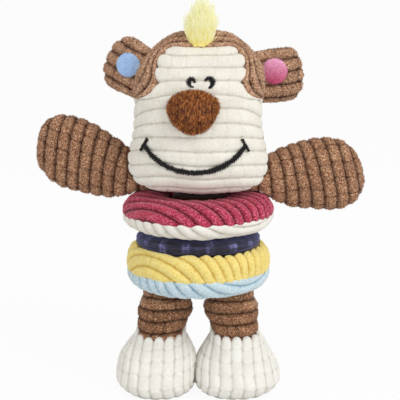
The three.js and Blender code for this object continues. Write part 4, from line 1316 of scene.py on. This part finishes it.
makeTorso()
print("torso and neck sewn")

# Arms: mittens with ribs across them

arm = {
    "length": 93, "width": 46, "thickness": 25, "root": 3.5, "rootWidth": 8.4, "rootTilt": 15, "sweep": 13,
    "fullness": 2.2, "seam": 0.6, "seamWidth": 1.2, "gap": 1.6, "rest": 0.6,
    "swing": (-10, -5, 0, 10, 20, 30), "bendFrom": 8, "bendTo": 54, "fill": 0.8,
    "pitch": 8.5, "sharp": 2.5, "sway": (0.9, 18, 61), "ribDepth": 1.4, "level": 0.65,
    "creases": {"pitch": 10.5, "width": 0.55}, "creaseShade": 0.5, "foldDepth": 0.5,
    "noise": ((0.5, 15, 62), (0.25, 1.8, 63)), "fibres": {"density": 2.2, "length": 1.1, "seed": 8},
    "left": {"side": 1, "tilt": 3.5, "skew": 9, "lean": 0, "crown": 0, "belly": -0.16, "palm": 0.09,
             "shoulder": 0.07, "firstGroove": 6.3},
    "right": {"side": -1, "tilt": 18.5, "skew": -5, "lean": 5, "crown": 0.03, "belly": 0, "palm": 0.05,
              "shoulder": 0.2, "firstGroove": 7.6},
}


def tangent(degrees):
    return math.tan(math.radians(degrees))


# The top of the upper ring, which an arm lies on
def ringFloor(points):
    size = ring["upper"]
    out = np.hypot(points[..., 0] - toyAxis[0], points[..., 1] - toyAxis[1])
    half, middle = ringSpan(size)
    half += arm["rest"]
    full = np.where(out < middle, size["inner"], size["full"][0])
    share = np.clip(np.abs(out - middle) / half, 0, 1) ** full
    floor = jointPlace("upper_ring_spin")[2] + (size["up"] + arm["rest"]) * (1 - share) ** (1 / full)
    return np.where((np.abs(out - middle) < half) & (out > ring["bore"]), floor, -1e3)


# The underside of the turning head, which an arm passes below
def headRoof(points):
    pivot = jointPlace("neck_turn")
    away = np.hypot(points[..., 0] - pivot[0], points[..., 1] - pivot[1])
    heights = np.linspace(0.5, 45, 120)
    turn = np.radians(np.arange(60, 151, 3))
    reach = []
    for height in heights:
        rim = headPoint(turn, np.full(turn.shape, height)) - pivot
        bearing = np.degrees(np.arctan2(rim[:, 1], rim[:, 0]))
        swept = (bearing > -15) & (bearing < 50)
        reach.append(np.hypot(rim[:, 0], rim[:, 1])[swept].max() if swept.any() else 0)
    reach = np.maximum.accumulate(np.array(reach))
    return chin[2] + np.interp(away - arm["gap"], reach, heights, right=1e3) - arm["gap"]


def turned(points, pivot, axis, degrees):
    axis = np.array(axis) / np.linalg.norm(axis)
    angle = np.radians(degrees)[..., None]
    ray = points - pivot
    along = (ray @ axis)[..., None] * axis
    return pivot + along + (ray - along) * np.cos(angle) + np.cross(axis, ray) * np.sin(angle)


def armStations(size):
    half, thick, root, long = arm["width"] / 2, arm["thickness"] / 2, arm["rootWidth"] / 2, arm["length"]
    deep, elbow = arm["root"], long * 0.135
    rows = [
        (-deep, 0.4, 0.4), (-deep * 0.5, root * 0.8, deep * 1.3), (0, root * 1.3, deep * 1.8),
        (elbow, root * 2.0, thick * 0.7), (long * 0.29, half * 0.68, thick * 0.8),
        (long * 0.4, half * 0.84, thick * 0.92), (long * 0.55, half * 0.95, thick),
        (long * 0.69, half, thick), (long * 0.82, half * 0.97, thick * 0.92),
        (long * 0.93, half * 0.78, thick * 0.68), (long * 0.985, half * 0.42, thick * 0.32), (long, 0.3, 0.2),
    ]
    bend = tangent(arm["rootTilt"]) - tangent(size["tilt"])
    return [(u, w, d, bend * min(max(u, 0), elbow)) for u, w, d in rows]


def makeArm(name):
    size = arm[name]
    body = name + "_arm"
    axes = limbAxes(size["side"], size["tilt"], arm["sweep"])
    place = jointPlace(body + "_swing")
    rows = evenRows(armStations(size), 0.62)
    grid, (along, across, deep) = limbGrid(rows, 170, arm["fullness"], place, axes)
    skewed = tangent(size["skew"]) * across * smoothStep(along, 10, 60)  # the ribs and the tip lean together
    grid = grid - skewed[..., None] * axes[0]
    above, below = np.maximum(across, 0), np.minimum(across, 0)
    belly = below * (size["belly"] * bell(along - 29, 10) + size["palm"] * bell(along - 72, 14))
    drop = above * size["crown"] * smoothStep(along, 38, 72)
    slope = above * size["shoulder"] * (1 - smoothStep(along, 22, 68))
    grid = grid + (belly - drop - slope)[..., None] * axes[1]
    start = arm["length"] - size["firstGroove"] - along + across * tangent(size["lean"])
    rib, lift, tone = ribbed(grid, start, across, arm)
    seam = bell(deep, arm["seamWidth"]) * smoothStep(along, 20, 40)
    lift = lift * smoothStep(along, 0, 14) - arm["seam"] * seam
    grid = lifted(grid, gridNormals(grid), lift)
    # the arm lies below the head, and above the ring through its whole swing
    share = smoothStep((grid - place) @ axes[0], arm["bendFrom"], arm["bendTo"])
    axis = joints[body + "_swing"]["axis"]
    swung = [turned(grid, place, axis, degrees * share) for degrees in arm["swing"]]
    lowest = grid[..., 2] + np.max([ringFloor(spots) - spots[..., 2] for spots in swung], axis=0)
    grid[..., 2] = np.maximum(np.minimum(grid[..., 2], headRoof(grid)), lowest)
    # painted shadow: the ribs near the root, in the shade of the head, are darkened
    tone = tone * (0.3 + 0.7 * smoothStep(along, 8, 28))
    pile = np.clip(0.3 + rib, 0, 1) * smoothStep(along, 26, 38)
    made = closedForm(name + "Arm", grid, cloth["brown"], rib=tone, pile=pile)
    bend = bendOf(arm, "torso", body, place, axes)
    nodes = [body + "_front", body + "_back", body + "_stuffing"]
    sew(made, body, nodes, bend)
    addPile(made, body, "brown_corduroy", cloth["brown"], bend, **arm["fibres"])


for name in ("left", "right"):
    makeArm(name)
print("arms sewn")

# Legs and feet

leg = {
    "height": 67, "hipRadius": 15, "hipSpacing": 43, "thigh": 35.4, "ankle": 30.6, "ankleHeight": 36,
    "seam": 36, "seamFrom": -11, "ankleSlope": 20, "footSpacing": 56, "foot": 54.4, "bulge": 10, "toe": 40,
    "heel": 21, "inner": 1.4, "fullness": 2.3, "sole": 1.6, "fill": 0.85,
    "left": {"side": 1, "broad": 1.02, "slide": -2.5, "instep": 20},
    "right": {"side": -1, "broad": 0.945, "slide": 0.4, "instep": 24},
}
sleeve = {
    "rows": 110, "columns": 150, "tucked": 2.4, "firstGroove": {"left": 6.4, "right": 4.7},
    "pitch": 7.4, "sharp": 3.0, "sway": (0.7, 16, 71), "ribDepth": 1.15, "level": 0.8,
    "creases": {"pitch": 13}, "creaseShade": 0.4, "foldDepth": 0.3, "noise": ((0.3, 14, 72), (0.2, 1.8, 73)),
    "fibres": {"density": 2.2, "length": 1.0, "seed": 9},
}
foot = {
    "rows": 74, "columns": 210, "fan": 0.14, "heelSeam": 1.1, "soleSeam": 0.6, "cuff": 0.9, "cuffEdge": 1.2,
    "scallop": 1.6, "pitch": 8.2, "sharp": 2.8, "sway": (0.8, 18, 74), "ribDepth": 1.3, "level": 0.5,
    "creases": {"pitch": 9.5, "width": 0.9, "drift": 0.15}, "creaseShade": 0.35, "foldDepth": 0.6,
    "noise": ((0.5, 16, 75), (0.1, 2.2, 76)),
}


# Rows hold the height, half width, front, back and shift of the middle
def legStations(side, broad, slide, instep):
    hipRadius, toe, heel, high = (leg[key] for key in ("hipRadius", "toe", "heel", "ankleHeight"))
    hip = leg["height"] - hipRadius
    wide, ankle, thigh = leg["foot"] / 2 * broad, leg["ankle"] / 2, leg["thigh"] / 2
    inwards = -side * (leg["footSpacing"] - leg["hipSpacing"]) / 2
    rows = [
        (0, wide * 0.77, -toe * 0.86, heel * 0.78, slide - side * leg["inner"]),
        (leg["bulge"] / 2, wide * 0.945, -toe * 0.97, heel * 0.95, slide - side * leg["inner"] * 0.5),
        (leg["bulge"], wide, -toe, heel, slide),
        (instep, wide * 0.92, -toe * 0.85, heel, inwards * 0.2 + slide * 0.7),
        (high, ankle * 1.04, -ankle * 1.25, ankle * 1.12, inwards * 0.5),
        ((high + hip) / 2, ankle * 1.03, -ankle * 1.05, ankle * 1.05, inwards * 0.75),
        (hip, thigh, -hipRadius, hipRadius, inwards),
    ]
    for turn in (0.5, 1.0, 1.35, math.pi / 2):
        up = hipRadius * math.sin(turn)
        deep = max(hipRadius * math.cos(turn), 0.3)
        rows.append((hip + up, thigh * (1 - 0.22 * up / hipRadius), -deep, deep, inwards))
    return rows


def legForm(rows, columns, place):
    turn = roundTurn(columns)[0] - math.pi / 2
    z, half, front, back, shift = (rows[..., i, None] for i in range(5))
    x = shift + half * rounded(np.cos(turn), leg["fullness"])
    y = (front + back) / 2 + (back - front) / 2 * rounded(np.sin(turn), leg["fullness"])
    return np.stack([x, y, z + 0 * x], -1) + place


# The ankle seam is level in front and rises towards the heel
def ankleSeam(points):
    return leg["seam"] + np.maximum(points[..., 1] - leg["seamFrom"], 0) * tangent(leg["ankleSlope"])


# The sleeve goes on a little way inside the foot
def makeSleeve(name, dense, place):
    start = dense[dense[:, 0] > leg["ankleHeight"] - 10]
    wanted = resampled(start[:, :3], sleeve["rows"])[:, 0]
    rows = columnsAt(wanted, dense[:, 0], dense)
    grid = legForm(rows, sleeve["columns"], place)
    high = rows[:, :1] - leg["ankleHeight"] + sleeve["firstGroove"][name]
    around = roundTurn(sleeve["columns"]) * leg["ankle"] / 2
    rib, lift, tone = ribbed(grid, high, around, sleeve)
    seamHigh = ankleSeam(grid - place)
    lift -= sleeve["tucked"] * smoothStep(seamHigh - grid[..., 2], -1.5, 3.5)
    lift *= smoothStep(leg["height"] - rows[:, :1], 0, 6)
    shown = (grid[..., 2] > seamHigh) * (grid[..., 2] < leg["height"] - 12)
    grid = lifted(grid, gridNormals(grid), lift)
    pile = np.clip(0.3 + rib, 0, 1) * shown
    made = closedForm(name + "Leg", grid, cloth["legBrown"], rib=tone, pile=pile)
    body = name + "_leg"
    sew(made, body, [body + "_sleeve", body + "_stuffing"])
    addPile(made, body, "brown_corduroy", cloth["legBrown"], None, **sleeve["fibres"])


# The foot is a cap of cloth up to the ankle seam, drawn in over the leg
def makeFoot(name, dense, place):
    rows, columns = foot["rows"], foot["columns"]
    base = legForm(dense, columns, place)
    tall = ankleSeam(base - place)
    grid = np.empty((rows, columns, 3))
    for j in range(columns):
        top = np.argmax(base[:, j, 2] > tall[:, j])
        begin = np.argmax(base[:, j, 2] >= leg["sole"] * 0.5)
        grid[:, j] = resampled(base[begin:top + 1, j], rows)
    step = np.linalg.norm(np.diff(grid, axis=1, append=grid[:, :1]), axis=-1)
    run = np.concatenate([np.zeros((rows, 1)), np.cumsum(step, 1)[:, :-1]], 1)
    whole = step.sum(1, keepdims=True)
    front = np.where(run > whole / 2, run - whole, run)
    fan = 1 + foot["fan"] * np.linspace(0, 1, rows)[:, None]
    behind = smoothStep(np.abs(front) / whole, 0.2, 0.42)  # at the heel the ribs are drawn together upwards
    spread = front * fan * (1 - behind) + front / whole * whole.max() * behind
    height = runOf(grid)
    top = height[-1:] - height
    rib, lift, tone = ribbed(grid, spread + 0.5 * foot["pitch"], height, foot)
    lift -= foot["soleSeam"] * bell(height, 2) + foot["heelSeam"] * bell(whole / 2 - np.abs(front), 1.1)
    lift += foot["cuff"] * rib * bell(top, 2.5) - foot["cuffEdge"] * bell(top, 1.0)
    outer = lifted(grid, gridNormals(grid), lift)
    outer[..., 2] += foot["scallop"] * (rib - 0.5) * bell(top, 2.2)
    outer[..., 2] = np.maximum(outer[..., 2], leg["sole"] * 0.4)
    hollow, under = outer[-1].mean(0) - [0, 0, 3], outer[0].mean(0)
    inside = [outer[-1] * (1 - share) + hollow * share for share in (0.12, 0.3, 0.6)]
    closing = [outer[0] * (1 - share) + under * share for share in (0.6, 0.25)]
    tone = np.pad(tone, ((len(closing), len(inside)), (0, 0)), "edge")
    made = closedForm(name + "Foot", np.concatenate([closing, outer, inside]), cloth["footCream"], rib=tone)
    sew(made, name + "_leg", [name + "_foot_upper"])


# The sole is flat, with ribs from toe to heel
def makeSole(name, dense, place):
    edge = legForm(dense[:1], 160, place)[0] * [1, 1, 0]
    centre = edge.mean(0)
    flat = centre + (edge - centre) * np.linspace(0.02, 0.985, 40)[:, None, None]
    rib, _ = ribs(flat[..., 0] + softNoise(flat, 15, 77) * 0.6, foot["pitch"])
    bottom = flat + np.stack([0 * rib, 0 * rib, 0.7 * (1 - rib)], -1)
    grid = np.concatenate([bottom, flat[::-6] + [0, 0, leg["sole"]]])
    made = closedForm(name + "Sole", grid, cloth["footCream"], rib=np.concatenate([rib, rib[::-6]]))
    sew(made, name + "_leg", [name + "_foot_sole"])


def makeLeg(name):
    place = np.array([toyAxis[0] + leg[name]["side"] * leg["footSpacing"] / 2, toyAxis[1], 0])
    dense = smoothRows(legStations(**leg[name]), np.linspace(0, 10, 1500))
    makeSleeve(name, dense, place)
    makeFoot(name, dense, place)
    makeSole(name, dense, place)


for name in ("left", "right"):
    makeLeg(name)
print("legs and feet sewn")


# No fibres stand where an ear folds against the head
def clearOfEars(mesh):
    spots = pointsOf(mesh)
    layer = mesh.attributes["pile"].data
    amount = np.empty(len(layer), np.float32)
    layer.foreach_get("value", amount)
    for name in ("left", "right"):
        amount *= smoothStep(np.linalg.norm(spots - jointPlace(name + "_ear_fold"), axis=1), 19, 24)
    layer.foreach_set("value", amount)


for made, material, size in ((band, "tan", bandPanel), (headBack, "brown", backPanel)):
    clearOfEars(made.data)
    addPile(made, "head", "brown_corduroy", cloth[material], None, **size["fibres"])

# Squeaker inside the head: its own parts stay, in blown plastic
for node in ("squeaker_bulb", "squeaker_reed"):
    frame["nodes"][node].data.materials.clear()
    frame["nodes"][node].data.materials.append(cloth["plastic"])
print("squeaker dressed")

bpy.context.view_layer.update()
